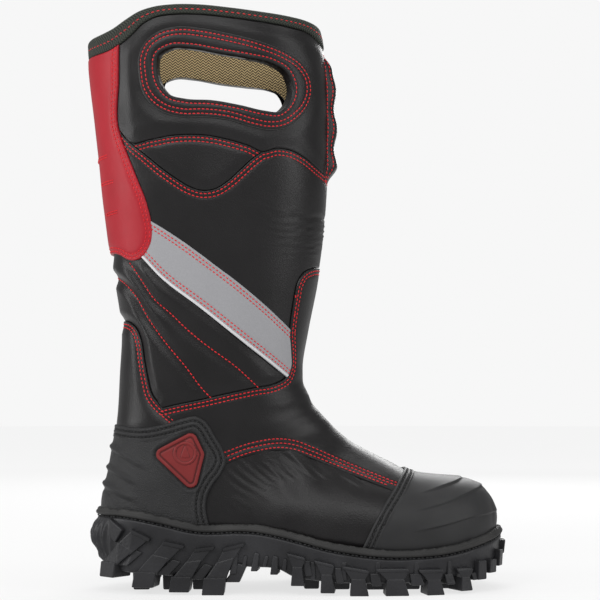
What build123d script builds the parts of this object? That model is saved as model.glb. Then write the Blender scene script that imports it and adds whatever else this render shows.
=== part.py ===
"""A structural fire-fighting boot, right foot: a pull-on leather shaft with pull-hole handles
over a lugged rubber cup sole.

Frame: +X is towards the toe, +Y is the wearer's left (the inner side of this right boot), +Z is up.
The origin is on the floor, under the middle of the sole. All sizes are in millimetres.

The upper is a stack of shells that follow one common form. The form is a loft through sections that
lie flat in the shaft, fan out round the heel and stand up in the foot. Each shell is the space
between two insets of that form, and each panel is a shell cut by an outline drawn in the side view.
"""

from build123d import *
from math import cos, pi, sin
import os

os.makedirs("parts", exist_ok=True)

# ---------------------------------------------------------------- driving dimensions
LEATHER = 2.2          # thickness of the full-grain shell
GAP = 0.1              # free space between neighbouring layers
MEMBRANE = 0.9         # moisture barrier
FELT = 1.8             # thermal lining
LINING = 1.1           # aramid knit lining
OVERLAY = 1.6          # leather and tape pieces sewn on top of the shell
SHIN_PAD = 5.0         # padded guard on the shin
TOE_RUBBER = 2.4       # rubber toe guard
HEEL_RUBBER = 3.0      # rubber heel counter
BINDING = 1.4          # fabric tape over the top edge
BADGE = 1.4            # badge thickness, of which half is let into the heel counter

IN_LEATHER = LEATHER
IN_FELT = IN_LEATHER + GAP + FELT
IN_MEMBRANE = IN_FELT + GAP + MEMBRANE
IN_LINING = IN_MEMBRANE + GAP + LINING

WELT_HEIGHT = 5.0      # height of the welt strip
WELT_OVERHANG = 1.6    # how far the welt stands out of the sole wall
LUG_REACH = 4.2        # how far a side lug stands out of the sole wall
LUG_DEPTH = 15.0       # how far a side lug runs in under the sole
HALF_SPACE = 90.0      # half width of the cutting prisms
TOP = 440.0            # the form runs past the top line and is trimmed

# front x, z | back x, z | centre y | half width | widest point | front and back squareness
STATIONS = [
    (10, TOP, -162.5, TOP, 0, 58.5, 0.50, 2.25, 2.25),
    (17, 405, -160, 405, 0, 58.5, 0.50, 2.25, 2.25),
    (20, 370, -156.8, 370, 0, 58, 0.50, 2.25, 2.25),
    (20.5, 335, -152.3, 335, 0, 56.5, 0.50, 2.2, 2.2),
    (19.8, 298, -148.2, 298, 0, 54.5, 0.50, 2.2, 2.2),
    (17, 262, -143.3, 262, 0, 51.5, 0.50, 2.1, 2.15),
    (12, 227, -137, 227, 0, 48, 0.50, 2.05, 2.1),
    (5, 193, -132.3, 193, 0, 44.5, 0.50, 2.0, 2.1),
    (0.8, 167, -133.5, 160, 0, 42, 0.50, 2.0, 2.1),
    (1.6, 154, -135.3, 126, 0, 40.5, 0.50, 2.0, 2.2),
    (6.5, 142, -140.5, 92, 0, 39.5, 0.49, 2.0, 2.35),
    (14, 130.5, -145.5, 56, 0, 39.5, 0.46, 2.0, 2.5),
    (23, 121.5, -128, 32, -0.5, 40, 0.43, 2.0, 2.6),
    (35, 110.5, -85, 29, -1, 41.5, 0.40, 2.0, 2.7),
    (50, 101.8, -35, 28, -2, 45, 0.37, 2.0, 2.7),
    (66, 93.8, 15, 22, -2.5, 49.5, 0.35, 2.05, 2.7),
    (84, 85, 60, 18, -2, 51.5, 0.35, 2.15, 2.7),
    (101, 82, 92, 17.5, 0.5, 49, 0.37, 2.3, 2.7),
    (117, 80, 116, 20, 2.5, 42.5, 0.40, 2.4, 2.7),
    (130, 77.2, 132, 25, 4, 33.5, 0.43, 2.4, 2.7),
    (139.5, 71, 141.5, 33, 5, 22.5, 0.46, 2.3, 2.5),
    (145.5, 61, 146.5, 45, 5, 11, 0.50, 2.2, 2.2),
    (147.8, 54, 147.9, 52, 5, 2, 0.50, 2.1, 2.1),
]
HALF_SECTION_POINTS = 11    # points along the front half, and along the back half, of a section
TOE_START, TOE_SPAN = 90.0, 57.0   # where an inset starts to pull the toe back, and over what length

# side-view curves, as x, z
TOP_LINE = [(-172, 411), (-163, 411), (-150, 411.5), (-141, 414), (-131, 419.5), (-121, 424.5), (-110, 427.3),
            (-97, 428.5), (-76, 428.4), (-54, 426.7), (-32, 425), (-9, 424), (5, 423.7), (30, 423.5)]
BINDING_LINE = [(-172, 397.5), (-160, 397), (-150, 396.5), (-141, 398), (-135, 401), (-127, 406.5),
                (-117, 415.5), (-108, 419.5), (-97, 421), (-76, 421), (-54, 419.2), (-32, 417.3), (-9, 415.5),
                (4, 414), (14, 409), (21, 404.5), (32, 403)]
COLLAR_SEAM = [(-180, 341), (-134.7, 337.3), (-127, 328.5), (-112, 330), (-97, 332.3), (-83, 333), (-68, 332),
               (-54, 329.2), (-39, 325), (-30, 321.3), (-20, 324.2), (-9, 323.5), (2, 319), (12, 312.5), (40, 300)]
WAVE_SEAM = [(-134.7, 337.3), (-127, 328.5), (-115, 318.4), (-104, 309), (-93, 301), (-84, 295.4), (-73, 292),
             (-64, 293.5), (-55, 299.3), (-46, 307.6), (-37.5, 315.7), (-30, 321.3)]
STRIP_TOP = [(-125, 280), (-110, 270.2), (-75, 249), (-46, 224), (-24, 205.4), (-13.5, 191), (-10.5, 181)]
STRIP_LOW = [(-180, 290), (-117.5, 244), (-104.5, 230), (-75, 207), (-46, 184), (-16, 160.8), (0, 148)]
VAMP_TOP = [(40, 243), (16, 240.4), (8, 238.4), (1, 234.4), (-3.7, 226.7), (-6, 216), (-8.5, 200),
            (-9.6, 188), (-8.8, 176), (-8.8, 164), (-12, 156.6), (-20, 152), (-35, 149), (-53, 145.2),
            (-75, 140.2), (-90, 137.2), (-104, 134)]
BACKSTAY_EDGE = [(-160, 201), (-133, 199.5), (-127.5, 197.6), (-122.7, 193.3), (-118.8, 184), (-116.2, 169.5),
                 (-113.3, 155), (-110, 143.8), (-104.3, 136.5), (-98.4, 131.4), (-92, 126)]
TRIPLE_SEAM = [(-66, 92), (-54.5, 96), (-42, 100.8), (-29.6, 103.8), (-16.3, 105.2), (-7.4, 104.2), (6, 99.6),
               (20.6, 93.8), (35, 88), (49.5, 82.4), (62, 77.5), (80, 71), (110, 62), (165, 52)]
BACK_STRIP_EDGE = [(-135.4, 440), (-135.4, 375), (-135.5, 340), (-132.4, 329.7), (-127, 316), (-121, 301),
                   (-115, 286), (-111.5, 273), (-109.8, 262), (-111.3, 253.4), (-114.6, 248), (-119.5, 243.8),
                   (-124, 242.8), (-128.8, 244.2), (-133.5, 247.6), (-138, 249.3), (-150, 248.6), (-180, 248.6)]
COUNTER_EDGE = [(-175, 124), (-137, 122.2), (-126, 120.2), (-115, 119.8), (-100.5, 122.7), (-86, 127.2),
                (-78, 128.6), (-72, 125.6), (-64, 113.9), (-57.4, 102), (-56, 95.8), (-58.8, 87.8),
                (-66, 77.7), (-69.7, 69), (-70.2, 60.4), (-68, 50), (-66, 30)]
TOE_CAP_EDGE = [(86, 96), (78.6, 88.9), (72.5, 82.7), (67.6, 75.9), (59.3, 64.9), (51.6, 52.2), (43, 35), (36, 20)]
WELT_LINE = [(-175, 60.5), (-150, 60.5), (-131, 60.4), (-115, 58), (-98, 54.5), (-86, 51.6), (-74, 49.8),
             (-62, 49.8), (-48, 50.3), (-34, 49.7), (-19, 47), (-2, 42.8), (16, 38), (38, 34.2), (60, 32),
             (82, 32), (105, 33.8), (118, 36), (130, 39), (142, 42.3), (153, 46), (175, 54)]
WEB_LINE = [(-175, 24), (-150, 20), (-136, 16), (-110, 14), (-78, 12.6), (-58, 12.6), (-52, 18), (-34, 19.4),
            (-18, 18), (-8, 13), (6, 10.5), (30, 8.6), (62, 8.4), (90, 9), (110, 11.5), (130, 16), (150, 24),
            (175, 38)]
FORM_BOTTOM = [(-175, 31.5), (-128, 31.5), (-85, 28.7), (-35, 27.6), (15, 21.6), (60, 17.6), (92, 17.1),
               (116, 19.6), (132, 24.6), (150, 32), (175, 44)]

HANDLE_HOLE = [(-107, 381), (-105.5, 391), (-97, 395.7), (-83, 395.6), (-61, 391.9), (-39.5, 389), (-24, 386.4),
               (-13, 380.8), (-8.3, 369), (-11.5, 358), (-18.5, 351.2), (-29, 351.3), (-46.6, 354.6),
               (-67, 357.8), (-86, 358.8), (-97.5, 362), (-104, 369.5)]
HANDLE_PATCH = [(-120.3, 377), (-120.8, 389), (-116, 401), (-105, 408.9), (-90, 411.6), (-76, 410.4), (-54, 406.6),
                (-32, 401.9), (-13.4, 396), (-2, 389.5), (5, 379.5), (6.3, 367), (2.2, 354.7), (-5, 345.8),
                (-14, 339.4), (-26, 337.2), (-39, 339.2), (-54, 343.3), (-72, 345.3), (-89, 345.5), (-101, 348.7),
                (-112, 356.5), (-118, 366)]
BADGE_CORNERS = [(-109.5, 101.5), (-79.5, 118), (-71.5, 101), (-78.5, 72)]
BADGE_RADIUS = 5.0

# plan of the sole wall, as x, y
SOLE_OUTER_SIDE = [(-151, 0), (-145, -19), (-131, -33), (-108, -41), (-80, -44.5), (-45, -46.5), (0, -52.5),
                   (45, -56.8), (75, -56), (105, -50), (128, -38), (145, -19), (152, 4)]
SOLE_INNER_SIDE = [(-151, 0), (-145, 19), (-131, 33), (-108, 40.5), (-80, 42.5), (-45, 43.5), (0, 47), (45, 51.5),
                   (75, 53.8), (105, 52), (128, 43.5), (144, 28), (152, 4)]

# side lugs: x of the foot on the wall, foot width, foot height above floor, top height, lean of the top
HEEL_LUGS = [(-148.5, 12, 14, 40, 2), (-140.7, 9.5, 3, 42, 25), (-115, 14, 0, 36, 20), (-89.7, 12.6, 0, 33, 14),
             (-65.5, 15, 0, 34, 12)]
ARCH_LUGS = [(-50.5, 5, 15, 30, 2), (-35.5, 5, 17, 30, 2), (-21.3, 5.5, 14.7, 28, 1)]
FOREFOOT_LUGS = [(-4.5, 9.6, 7, 29, -0.5), (17, 10.4, 2, 24, -2), (40, 13.5, 0, 20, -2), (66.7, 17, 0, 19.5, -3),
                 (94.8, 13, 0, 18.5, -3), (117, 10, 2, 18.5, -1), (130, 9, 9, 23, -1), (139.5, 9, 13, 23, -1),
                 (146.5, 8, 17, 29, -1), (151.6, 9, 25, 35, -1)]
# blocks under the middle of the sole: x, length along x, width across
TREAD_BLOCKS = [(-118, 13, 26), (-96, 13, 28), (-74, 13, 28), (8, 12, 30), (30, 13, 40), (55, 14, 46), (82, 13, 44),
                (107, 11, 34)]

SHANK_BACK, SHANK_FRONT = -98, 24
SHANK_WIDTH = 26.0
SHANK_THICKNESS = 1.6
SHANK_OPENINGS = 6
PLATE_THICKNESS = 1.1
MIDSOLE_MARGIN = 12.0  # the midsole lies this far inside the sole wall
SOLE_SKIN = 2.8        # rubber left between the midsole and the tread
LASTING_MARGIN = 6.0   # how far the insole board's edge turns up
FOOTBED_THICKNESS = 5.0
SHIN_HALF_WIDTH = 17.0
SHIN_LOW, SHIN_HIGH = 306, 402
TOE_BOX_BACK = 92      # back edge of the metal toe cap
STIFFENER_FRONT = -96  # front edge of the heel stiffener


# ---------------------------------------------------------------- the common form
def half_section(row, inset, start):
    """Half a section in its own plane, as a spline from one widest point round to the other.

    Every spline has the same parameters, so two insets of one section differ by an even shift and
    the layers between them keep their thickness.
    """
    front_x, front_z, back_x, back_z, centre, half, widest, n_front, n_back = row
    length = Vector(front_x - back_x, 0, front_z - back_z).length - 2 * inset
    squareness, share = (n_front, 1 - widest) if start < 0 else (n_back, widest)
    points = []
    for k in range(HALF_SECTION_POINTS):
        angle = start + pi * k / (HALF_SECTION_POINTS - 1)
        c, s = round(cos(angle), 9), round(sin(angle), 9)
        radius = (abs(c) ** squareness + abs(s) ** squareness) ** (-1 / squareness)
        points.append(Vector(inset + (widest + c * radius * share) * length, centre + (half - inset) * s * radius))
    speed = pi * share * length * (1 if start < 0 else -1)
    steps = [k / (HALF_SECTION_POINTS - 1) for k in range(HALF_SECTION_POINTS)]
    return Edge.make_spline(points, [Vector(speed, 0), Vector(-speed, 0)], parameters=steps, scale=False)


def section_plane(row, inset):
    """The section's plane, with its local x along the chord and its local y along +Y."""
    front_x, front_z, back_x, back_z = row[:4]

    def pulled(x):
        return x - inset * min(max((x - TOE_START) / TOE_SPAN, 0), 1)

    origin = Vector(pulled(back_x), 0, back_z)
    chord = (Vector(pulled(front_x), 0, front_z) - origin).normalized()
    return Plane(origin=origin, x_dir=chord, z_dir=chord.cross(Vector(0, 1, 0)))


def form(inset):
    """The solid inside the upper's outer surface, moved inwards by inset."""
    rows = [row for row in STATIONS if row[5] > inset + 1]
    rise = max(inset, 0)
    rows[0] = (rows[0][0], TOP + rise, rows[0][2], TOP + rise) + rows[0][4:]
    outlines = []
    for row in rows:
        outline = Wire([half_section(row, inset, -pi / 2), half_section(row, inset, pi / 2)])
        outlines.append(section_plane(row, inset).from_local_coords(outline))
    return Solid.make_loft(outlines, ruled=True)


def layer(outer, inner):
    """The shell between two insets of the form."""
    with BuildPart() as shell:
        add(form(outer), clean=False)
        add(form(inner), mode=Mode.SUBTRACT, clean=False)
    return shell.part


# ---------------------------------------------------------------- cutting prisms, drawn in the side view
def prism(curve, closing):
    """The region between an open side-view curve and the straight lines that close it."""
    with BuildPart() as region:
        with BuildSketch(Plane.XZ):
            with BuildLine():
                Spline(*curve)
                Polyline(curve[-1], *closing, curve[0])
            make_face()
        extrude(amount=HALF_SPACE, both=True)
    return region.part


def below(curve, drop=0.0):
    """Everything under a side-view curve, whose ends run on level."""
    points = [(x, z - drop) for x, z in curve]
    return prism(points, [(200, points[-1][1]), (200, -20), (-200, -20), (-200, points[0][1])])


def loop(points):
    """A smooth closed side-view outline, extruded across the boot."""
    with BuildPart() as region:
        with BuildSketch(Plane.XZ):
            with BuildLine():
                Spline(*points, periodic=True)
            make_face()
        extrude(amount=HALF_SPACE, both=True)
    return region.part


def slab(x_low, x_high, y_low, y_high, z_low, z_high):
    """An upright block between the given limits."""
    with BuildPart() as block:
        with Locations(((x_low + x_high) / 2, (y_low + y_high) / 2, (z_low + z_high) / 2)):
            Box(x_high - x_low, y_high - y_low, z_high - z_low)
    return block.part


def drawn_in(points, side, margin):
    """The points of one side of the sole's plan, moved inwards by margin."""
    moved = []
    for k, (x, y) in enumerate(points):
        before, after = points[max(k - 1, 0)], points[min(k + 1, len(points) - 1)]
        run = Vector(after[0] - before[0], after[1] - before[1]).normalized()
        if k == 0:
            run = Vector(0, side)
        if k == len(points) - 1:
            run = Vector(0, -side)
        moved.append((x + run.Y * side * margin, y - run.X * side * margin))
    return moved


def plan_prism(margin, z_low, z_high):
    """The plan outline of the sole, drawn in by margin, extruded between two heights."""
    outer_side = Edge.make_spline(drawn_in(SOLE_OUTER_SIDE, -1, margin), [(0, -1), (0, 1)])
    inner_side = Edge.make_spline(drawn_in(SOLE_INNER_SIDE, 1, margin), [(0, 1), (0, -1)])
    plan = Face(Wire([outer_side, inner_side])).moved(Location((0, 0, z_low)))
    return Solid.extrude(plan, Vector(0, 0, z_high - z_low))


def cut_out(stock, keep, remove):
    """The stock inside every region of keep and outside every region of remove."""
    with BuildPart() as piece:
        add(stock, clean=False)
        for region in keep:
            add(region, mode=Mode.INTERSECT, clean=False)
        for region in remove:
            add(region, mode=Mode.SUBTRACT, clean=False)
    return piece.part


def largest(piece, count=1):
    """The biggest solids of a piece, without the crumbs a curved cut can leave."""
    solids = piece.solids().sort_by(SortBy.VOLUME)[-count:]
    return solids[0] if count == 1 else Compound(children=solids)


def save(piece, name, count=1):
    """Labels a finished piece and writes its STEP file."""
    finished = largest(piece, count)
    finished.label = name
    export_step(finished, f"parts/{name}.step")
    return finished


# ---------------------------------------------------------------- regions shared by several pieces
outer_form = form(0)
leather = layer(0, IN_LEATHER)
overlay_form = form(-OVERLAY)
under_binding = below(BINDING_LINE, GAP)
under_collar = below(COLLAR_SEAM)
under_strip = below(STRIP_LOW)
under_triple = below(TRIPLE_SEAM)
under_welt = below(WELT_LINE)
lasted_edge = below(FORM_BOTTOM, -LASTING_MARGIN)
crescent_region = prism(WAVE_SEAM, [(-30, 360), (-134.7, 360)])
forefoot_region = prism(VAMP_TOP, [(-92, 126), (-66, 92), (-66, -20), (190, -20), (190, 243)])
backstay_region = prism(BACKSTAY_EDGE, [(-92, 112), (-190, 112), (-190, 201)])
back_strip_region = prism(BACK_STRIP_EDGE, [(-190, 248.6), (-190, 440)])
counter_region = prism(COUNTER_EDGE, [(-190, 30), (-190, 124)])
toe_region = prism(TOE_CAP_EDGE, [(190, 20), (190, 96)])
handle_hole = loop(HANDLE_HOLE)
lateral = slab(-200, 200, -HALF_SPACE, -GAP / 2, -20, TOP + 20)
medial = slab(-200, 200, GAP / 2, HALF_SPACE, -20, TOP + 20)

# ---------------------------------------------------------------- leather shell panels
collar_panel = cut_out(leather, [under_binding], [under_collar, handle_hole])
save(collar_panel, "collar_panel")

shell_below_collar = cut_out(leather, [under_collar], [])
crescents = cut_out(shell_below_collar, [crescent_region], [])
save(cut_out(crescents, [lateral], []), "crescent_lateral")
save(cut_out(crescents, [medial], []), "crescent_medial")

shaft_panel = cut_out(shell_below_collar, [], [crescent_region, under_strip, forefoot_region])
save(shaft_panel, "shaft_panel")

lower_shell = cut_out(shell_below_collar, [under_strip], [lasted_edge])
below_ankle = slab(-200, 200, -HALF_SPACE, HALF_SPACE, -20, 124)
ankle_panel = cut_out(lower_shell, [], [forefoot_region, backstay_region, below_ankle])
save(ankle_panel, "ankle_panel")

backstay = cut_out(lower_shell, [backstay_region], [forefoot_region])
save(backstay, "backstay")

vamp = cut_out(cut_out(shell_below_collar, [forefoot_region], []), [], [under_triple])
save(vamp, "vamp")

quarter_outline = [(-92, 126), (-92, 112), (-190, 112), (-190, -20), (190, -20), (190, 48)]
quarter_region = prism(list(reversed(TRIPLE_SEAM)), quarter_outline)
quarters = cut_out(leather, [quarter_region], [lasted_edge])
save(cut_out(quarters, [lateral], []), "quarter_lateral")
save(cut_out(quarters, [medial], []), "quarter_medial")

insole_board = cut_out(leather, [lasted_edge], [])
save(insole_board, "insole_board")

# ---------------------------------------------------------------- leather and tape sewn over the shell
back_strip = cut_out(overlay_form, [back_strip_region, under_binding], [outer_form])
save(back_strip, "back_strip")

handle_patches = cut_out(overlay_form, [loop(HANDLE_PATCH)], [outer_form])
save(cut_out(handle_patches, [lateral], [handle_hole]), "handle_patch_lateral")
save(cut_out(handle_patches, [medial], [handle_hole]), "handle_patch_medial")

strip_zone = slab(-117, -10.8, -HALF_SPACE, HALF_SPACE, 150, 290)
strips = cut_out(overlay_form, [strip_zone, below(STRIP_TOP)], [under_strip, outer_form, back_strip_region])
save(cut_out(strips, [lateral], []), "reflective_strip_lateral")
save(cut_out(strips, [medial], []), "reflective_strip_medial")

shin_zone = slab(-20, 60, -SHIN_HALF_WIDTH, SHIN_HALF_WIDTH, SHIN_LOW, SHIN_HIGH)
shin_guard = cut_out(form(-SHIN_PAD), [shin_zone], [outer_form])
save(shin_guard, "shin_guard")

collar_binding = cut_out(layer(-OVERLAY, IN_LINING), [below(TOP_LINE)], [below(BINDING_LINE)])
save(collar_binding, "collar_binding")

# ---------------------------------------------------------------- rubber guards and badges
toe_guard = cut_out(form(-TOE_RUBBER), [toe_region], [under_welt, outer_form])
save(toe_guard, "toe_guard")

with BuildPart() as badge_region:
    with BuildSketch(Plane.XZ):
        with BuildLine():
            badge_outline = FilletPolyline(*BADGE_CORNERS, radius=BADGE_RADIUS, close=True)
        make_face()
    extrude(amount=HALF_SPACE, both=True)
badge_seat_form = form(-HEEL_RUBBER + BADGE / 2)
badges = cut_out(form(-HEEL_RUBBER - BADGE / 2), [badge_region.part], [badge_seat_form])
save(cut_out(badges, [lateral], []), "badge_lateral")
save(cut_out(badges, [medial], []), "badge_medial")

counter_blank = cut_out(form(-HEEL_RUBBER), [counter_region], [under_welt])
badge_recess = cut_out(counter_blank, [badge_region.part], [badge_seat_form])
heel_counter = cut_out(counter_blank, [], [outer_form, badge_recess])
save(heel_counter, "heel_counter")

# ---------------------------------------------------------------- inner layers
aramid_lining = cut_out(layer(IN_MEMBRANE + GAP, IN_LINING), [under_binding], [handle_hole])
save(aramid_lining, "aramid_lining")

liner_top = below(COLLAR_SEAM, 4)
moisture_barrier = cut_out(layer(IN_FELT + GAP, IN_MEMBRANE), [liner_top], [])
save(moisture_barrier, "moisture_barrier")

felt_layer = layer(IN_LEATHER + GAP, IN_FELT)
save(cut_out(felt_layer, [slab(TOE_BOX_BACK, 200, -90, 90, 10, 120)], []), "safety_toe")
save(cut_out(felt_layer, [slab(-200, STIFFENER_FRONT, -90, 90, 38, 98)], []), "heel_stiffener")

toe_clearance = slab(TOE_BOX_BACK - GAP, 200, -90, 90, 10, 120)
heel_clearance = slab(-200, STIFFENER_FRONT + GAP, -90, 90, 38 - GAP, 98 + GAP)
thermal_lining = cut_out(felt_layer, [liner_top], [toe_clearance, heel_clearance])
save(thermal_lining, "thermal_lining")

collar_zone = slab(-200, 60, -HALF_SPACE, HALF_SPACE, 290, 430)
collar_foam = cut_out(form(IN_LEATHER + GAP), [collar_zone, under_binding], [below(COLLAR_SEAM, 3.8), handle_hole])
collar_foam = cut_out(collar_foam, [], [form(IN_MEMBRANE)])
save(collar_foam, "collar_foam")

footbed = cut_out(form(IN_LINING + GAP), [below(FORM_BOTTOM, -IN_LINING - GAP - FOOTBED_THICKNESS)], [])
save(footbed, "footbed")


# ---------------------------------------------------------------- sole
def wall_lug(points, side, lug):
    """One side lug: a leaning trapezoid that stands out of the wall and runs in under the sole."""
    foot_x, foot_width, foot_height, top_height, lean = lug
    before = max(point for point in points if point[0] <= foot_x)
    after = min(point for point in points if point[0] > foot_x)
    along = Vector(after[0] - before[0], after[1] - before[1])
    foot = Vector(*before) + along * ((foot_x - before[0]) / along.X)
    outward = Vector(along.Y, -along.X) * -side
    outward = outward.normalized()
    half_foot, half_top = foot_width / 2, foot_width * 0.4
    face_plane = Plane(origin=foot + outward * LUG_REACH, x_dir=along * -side, z_dir=outward)
    shift = -side * lean
    with BuildPart() as block:
        with BuildSketch(face_plane):
            with BuildLine():
                Polyline((-half_foot, foot_height), (half_foot, foot_height), (half_top + shift, top_height),
                         (-half_top + shift, top_height), close=True)
            make_face()
        extrude(amount=-LUG_REACH - LUG_DEPTH)
    return block.part


sole_plan = plan_prism(0, 0, 70)
sole_walls = [(SOLE_OUTER_SIDE, -1), (SOLE_INNER_SIDE, 1)]
lugs = [wall_lug(wall, side, lug) for wall, side in sole_walls for lug in HEEL_LUGS + ARCH_LUGS + FOREFOOT_LUGS]

sole_body = cut_out(sole_plan, [below(WELT_LINE, WELT_HEIGHT + GAP)], [below(WEB_LINE)])
with BuildPart() as treaded_body:
    add(sole_body, clean=False)
    for lug in lugs:
        add(lug, clean=False)
    for x, length, width in TREAD_BLOCKS:
        with Locations((x, 0, 10)):
            Box(length, width, 20)
midsole_well = cut_out(plan_prism(MIDSOLE_MARGIN - GAP, 0, 70), [], [below(WEB_LINE, GAP - SOLE_SKIN)])
outsole = cut_out(treaded_body.part, [], [outer_form, midsole_well])
save(outsole, "outsole")

welt_band = cut_out(plan_prism(-WELT_OVERHANG, 20, 80), [under_welt], [below(WELT_LINE, WELT_HEIGHT)])
welt_strip = cut_out(welt_band, [], [outer_form])
save(welt_strip, "welt_strip")

shank_curve = [(x, z - PLATE_THICKNESS - 0.3) for x, z in FORM_BOTTOM]
shank_zone = slab(SHANK_BACK, SHANK_FRONT, -SHANK_WIDTH / 2, SHANK_WIDTH / 2, 0, 60)
shank_blank = cut_out(below(shank_curve), [shank_zone], [below(shank_curve, SHANK_THICKNESS)])
pitch = (SHANK_FRONT - SHANK_BACK) / SHANK_OPENINGS
openings = [slab(SHANK_BACK + (k + 0.25) * pitch, SHANK_BACK + (k + 0.75) * pitch, -8, 8, 0, 60)
            for k in range(SHANK_OPENINGS)]
shank = cut_out(shank_blank, [], openings)
save(shank, "shank")

plate_zone = plan_prism(MIDSOLE_MARGIN + 1, 0, 60)
plate_stock = cut_out(form(-GAP - PLATE_THICKNESS), [plate_zone, below(FORM_BOTTOM, -2)], [])
puncture_plate = cut_out(plate_stock, [], [form(-GAP)])
save(puncture_plate, "puncture_plate")

midsole_top = below(FORM_BOTTOM, PLATE_THICKNESS + 2 * GAP)
midsole_block = cut_out(plan_prism(MIDSOLE_MARGIN, 0, 60), [midsole_top], [below(WEB_LINE, -SOLE_SKIN)])
shank_pocket = slab(SHANK_BACK - GAP, SHANK_FRONT + GAP, -SHANK_WIDTH / 2 - GAP, SHANK_WIDTH / 2 + GAP, 0, 60)
shank_pocket = cut_out(shank_pocket, [], [below(shank_curve, SHANK_THICKNESS + GAP)])
midsole = cut_out(midsole_block, [], [shank_pocket])
save(midsole, "midsole")
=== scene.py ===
"""Visual model of a pull-on fire boot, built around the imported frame.

The upper's outer surface is one smooth form through sections, the same ones as in the CAD. Every
leather, tape and rubber piece of the upper is a cut of that form with a rounded edge, its own
thickness, padding, creases and stitch rows. The sole is swept round its plan, with lugs and tread
blocks on it. All lengths are millimetres until a mesh is written, in metres.
"""
import math

import bmesh
import bpy
import numpy as np
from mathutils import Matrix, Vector


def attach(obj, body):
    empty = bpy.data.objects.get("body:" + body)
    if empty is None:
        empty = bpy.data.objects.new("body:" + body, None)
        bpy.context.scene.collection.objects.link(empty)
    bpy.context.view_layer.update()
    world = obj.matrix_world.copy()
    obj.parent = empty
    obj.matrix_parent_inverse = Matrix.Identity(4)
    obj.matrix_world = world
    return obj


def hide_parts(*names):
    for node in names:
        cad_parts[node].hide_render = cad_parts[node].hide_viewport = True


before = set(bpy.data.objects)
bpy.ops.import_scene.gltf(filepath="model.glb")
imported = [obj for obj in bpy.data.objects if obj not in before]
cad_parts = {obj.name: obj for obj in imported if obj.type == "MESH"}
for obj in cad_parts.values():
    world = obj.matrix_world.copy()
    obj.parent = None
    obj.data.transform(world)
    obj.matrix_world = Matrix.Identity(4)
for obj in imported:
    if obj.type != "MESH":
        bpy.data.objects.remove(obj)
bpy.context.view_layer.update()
MM = 0.001
STEP = 1.25     # grid spacing of the upper

# ------------------------------------------------------------------ the form
# front x, z | back x, z | centre y | half width | widest point | front and back squareness
STATIONS = np.array([
    (10, 440, -162.5, 440, 0, 58.5, 0.50, 2.25, 2.25),
    (17, 405, -160, 405, 0, 58.5, 0.50, 2.25, 2.25),
    (20, 370, -156.8, 370, 0, 58, 0.50, 2.25, 2.25),
    (20.5, 335, -152.3, 335, 0, 56.5, 0.50, 2.2, 2.2),
    (19.8, 298, -148.2, 298, 0, 54.5, 0.50, 2.2, 2.2),
    (17, 262, -143.3, 262, 0, 51.5, 0.50, 2.1, 2.15),
    (12, 227, -137, 227, 0, 48, 0.50, 2.05, 2.1),
    (5, 193, -132.3, 193, 0, 44.5, 0.50, 2.0, 2.1),
    (0.8, 167, -133.5, 160, 0, 42, 0.50, 2.0, 2.1),
    (1.6, 154, -135.3, 126, 0, 40.5, 0.50, 2.0, 2.2),
    (6.5, 142, -140.5, 92, 0, 39.5, 0.49, 2.0, 2.35),
    (14, 130.5, -145.5, 56, 0, 39.5, 0.46, 2.0, 2.5),
    (23, 121.5, -128, 32, -0.5, 40, 0.43, 2.0, 2.6),
    (35, 110.5, -85, 29, -1, 41.5, 0.40, 2.0, 2.7),
    (50, 101.8, -35, 28, -2, 45, 0.37, 2.0, 2.7),
    (66, 93.8, 15, 22, -2.5, 49.5, 0.35, 2.05, 2.7),
    (84, 85, 60, 18, -2, 51.5, 0.35, 2.15, 2.7),
    (101, 82, 92, 17.5, 0.5, 49, 0.37, 2.3, 2.7),
    (117, 80, 116, 20, 2.5, 42.5, 0.40, 2.4, 2.7),
    (130, 77.2, 132, 25, 4, 33.5, 0.43, 2.4, 2.7),
    (139.5, 71, 141.5, 33, 5, 22.5, 0.46, 2.3, 2.5),
    (145.5, 61, 146.5, 45, 5, 11, 0.50, 2.2, 2.2),
    (147.8, 54, 147.9, 52, 5, 2, 0.50, 2.1, 2.1)])
MIDDLES = (STATIONS[:, :2] + STATIONS[:, 2:4]) / 2
KNOTS = np.concatenate([[0], np.cumsum(np.linalg.norm(np.diff(MIDDLES, axis=0), axis=1))])
LENGTH = KNOTS[-1]
SLOPES = np.gradient(STATIONS, KNOTS, axis=0)


def rows(v):
    """Section numbers at distances v along the form, by a cubic through the stations."""
    v = np.asarray(v, float)
    i = np.clip(np.searchsorted(KNOTS, v, side="right") - 1, 0, len(KNOTS) - 2)
    h = (KNOTS[i + 1] - KNOTS[i])[:, None]
    u = (v - KNOTS[i])[:, None] / h
    start, end = STATIONS[i], STATIONS[i + 1]
    return ((1 + 2 * u) * (1 - u) ** 2 * start + u * (1 - u) ** 2 * h * SLOPES[i]
            + u * u * (3 - 2 * u) * end + u * u * (u - 1) * h * SLOPES[i + 1])


def surface(phi, v):
    """Points of the form. phi is 0 at the front and pi at the back; positive is the +Y side."""
    r = rows(v)
    c, s = np.cos(phi), np.sin(phi)
    n = np.where(c >= 0, r[:, 7], r[:, 8])
    radius = (np.abs(c) ** n + np.abs(s) ** n) ** (-1 / n)
    share = np.where(c >= 0, 1 - r[:, 6], r[:, 6])
    along = r[:, 6] + share * c * radius
    x = r[:, 2] + (r[:, 0] - r[:, 2]) * along
    z = r[:, 3] + (r[:, 1] - r[:, 3]) * along
    return np.stack([x, r[:, 4] + r[:, 5] * s * radius, z], -1)


def normals(phi, v):
    a = surface(phi + 0.004, v) - surface(phi - 0.004, v)
    low, high = np.clip(v - 0.3, 0, LENGTH), np.clip(v + 0.3, 0, LENGTH)
    n = np.cross(surface(phi, high) - surface(phi, low), a)
    return n / (np.linalg.norm(n, axis=1)[:, None] + 1e-12)


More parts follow.
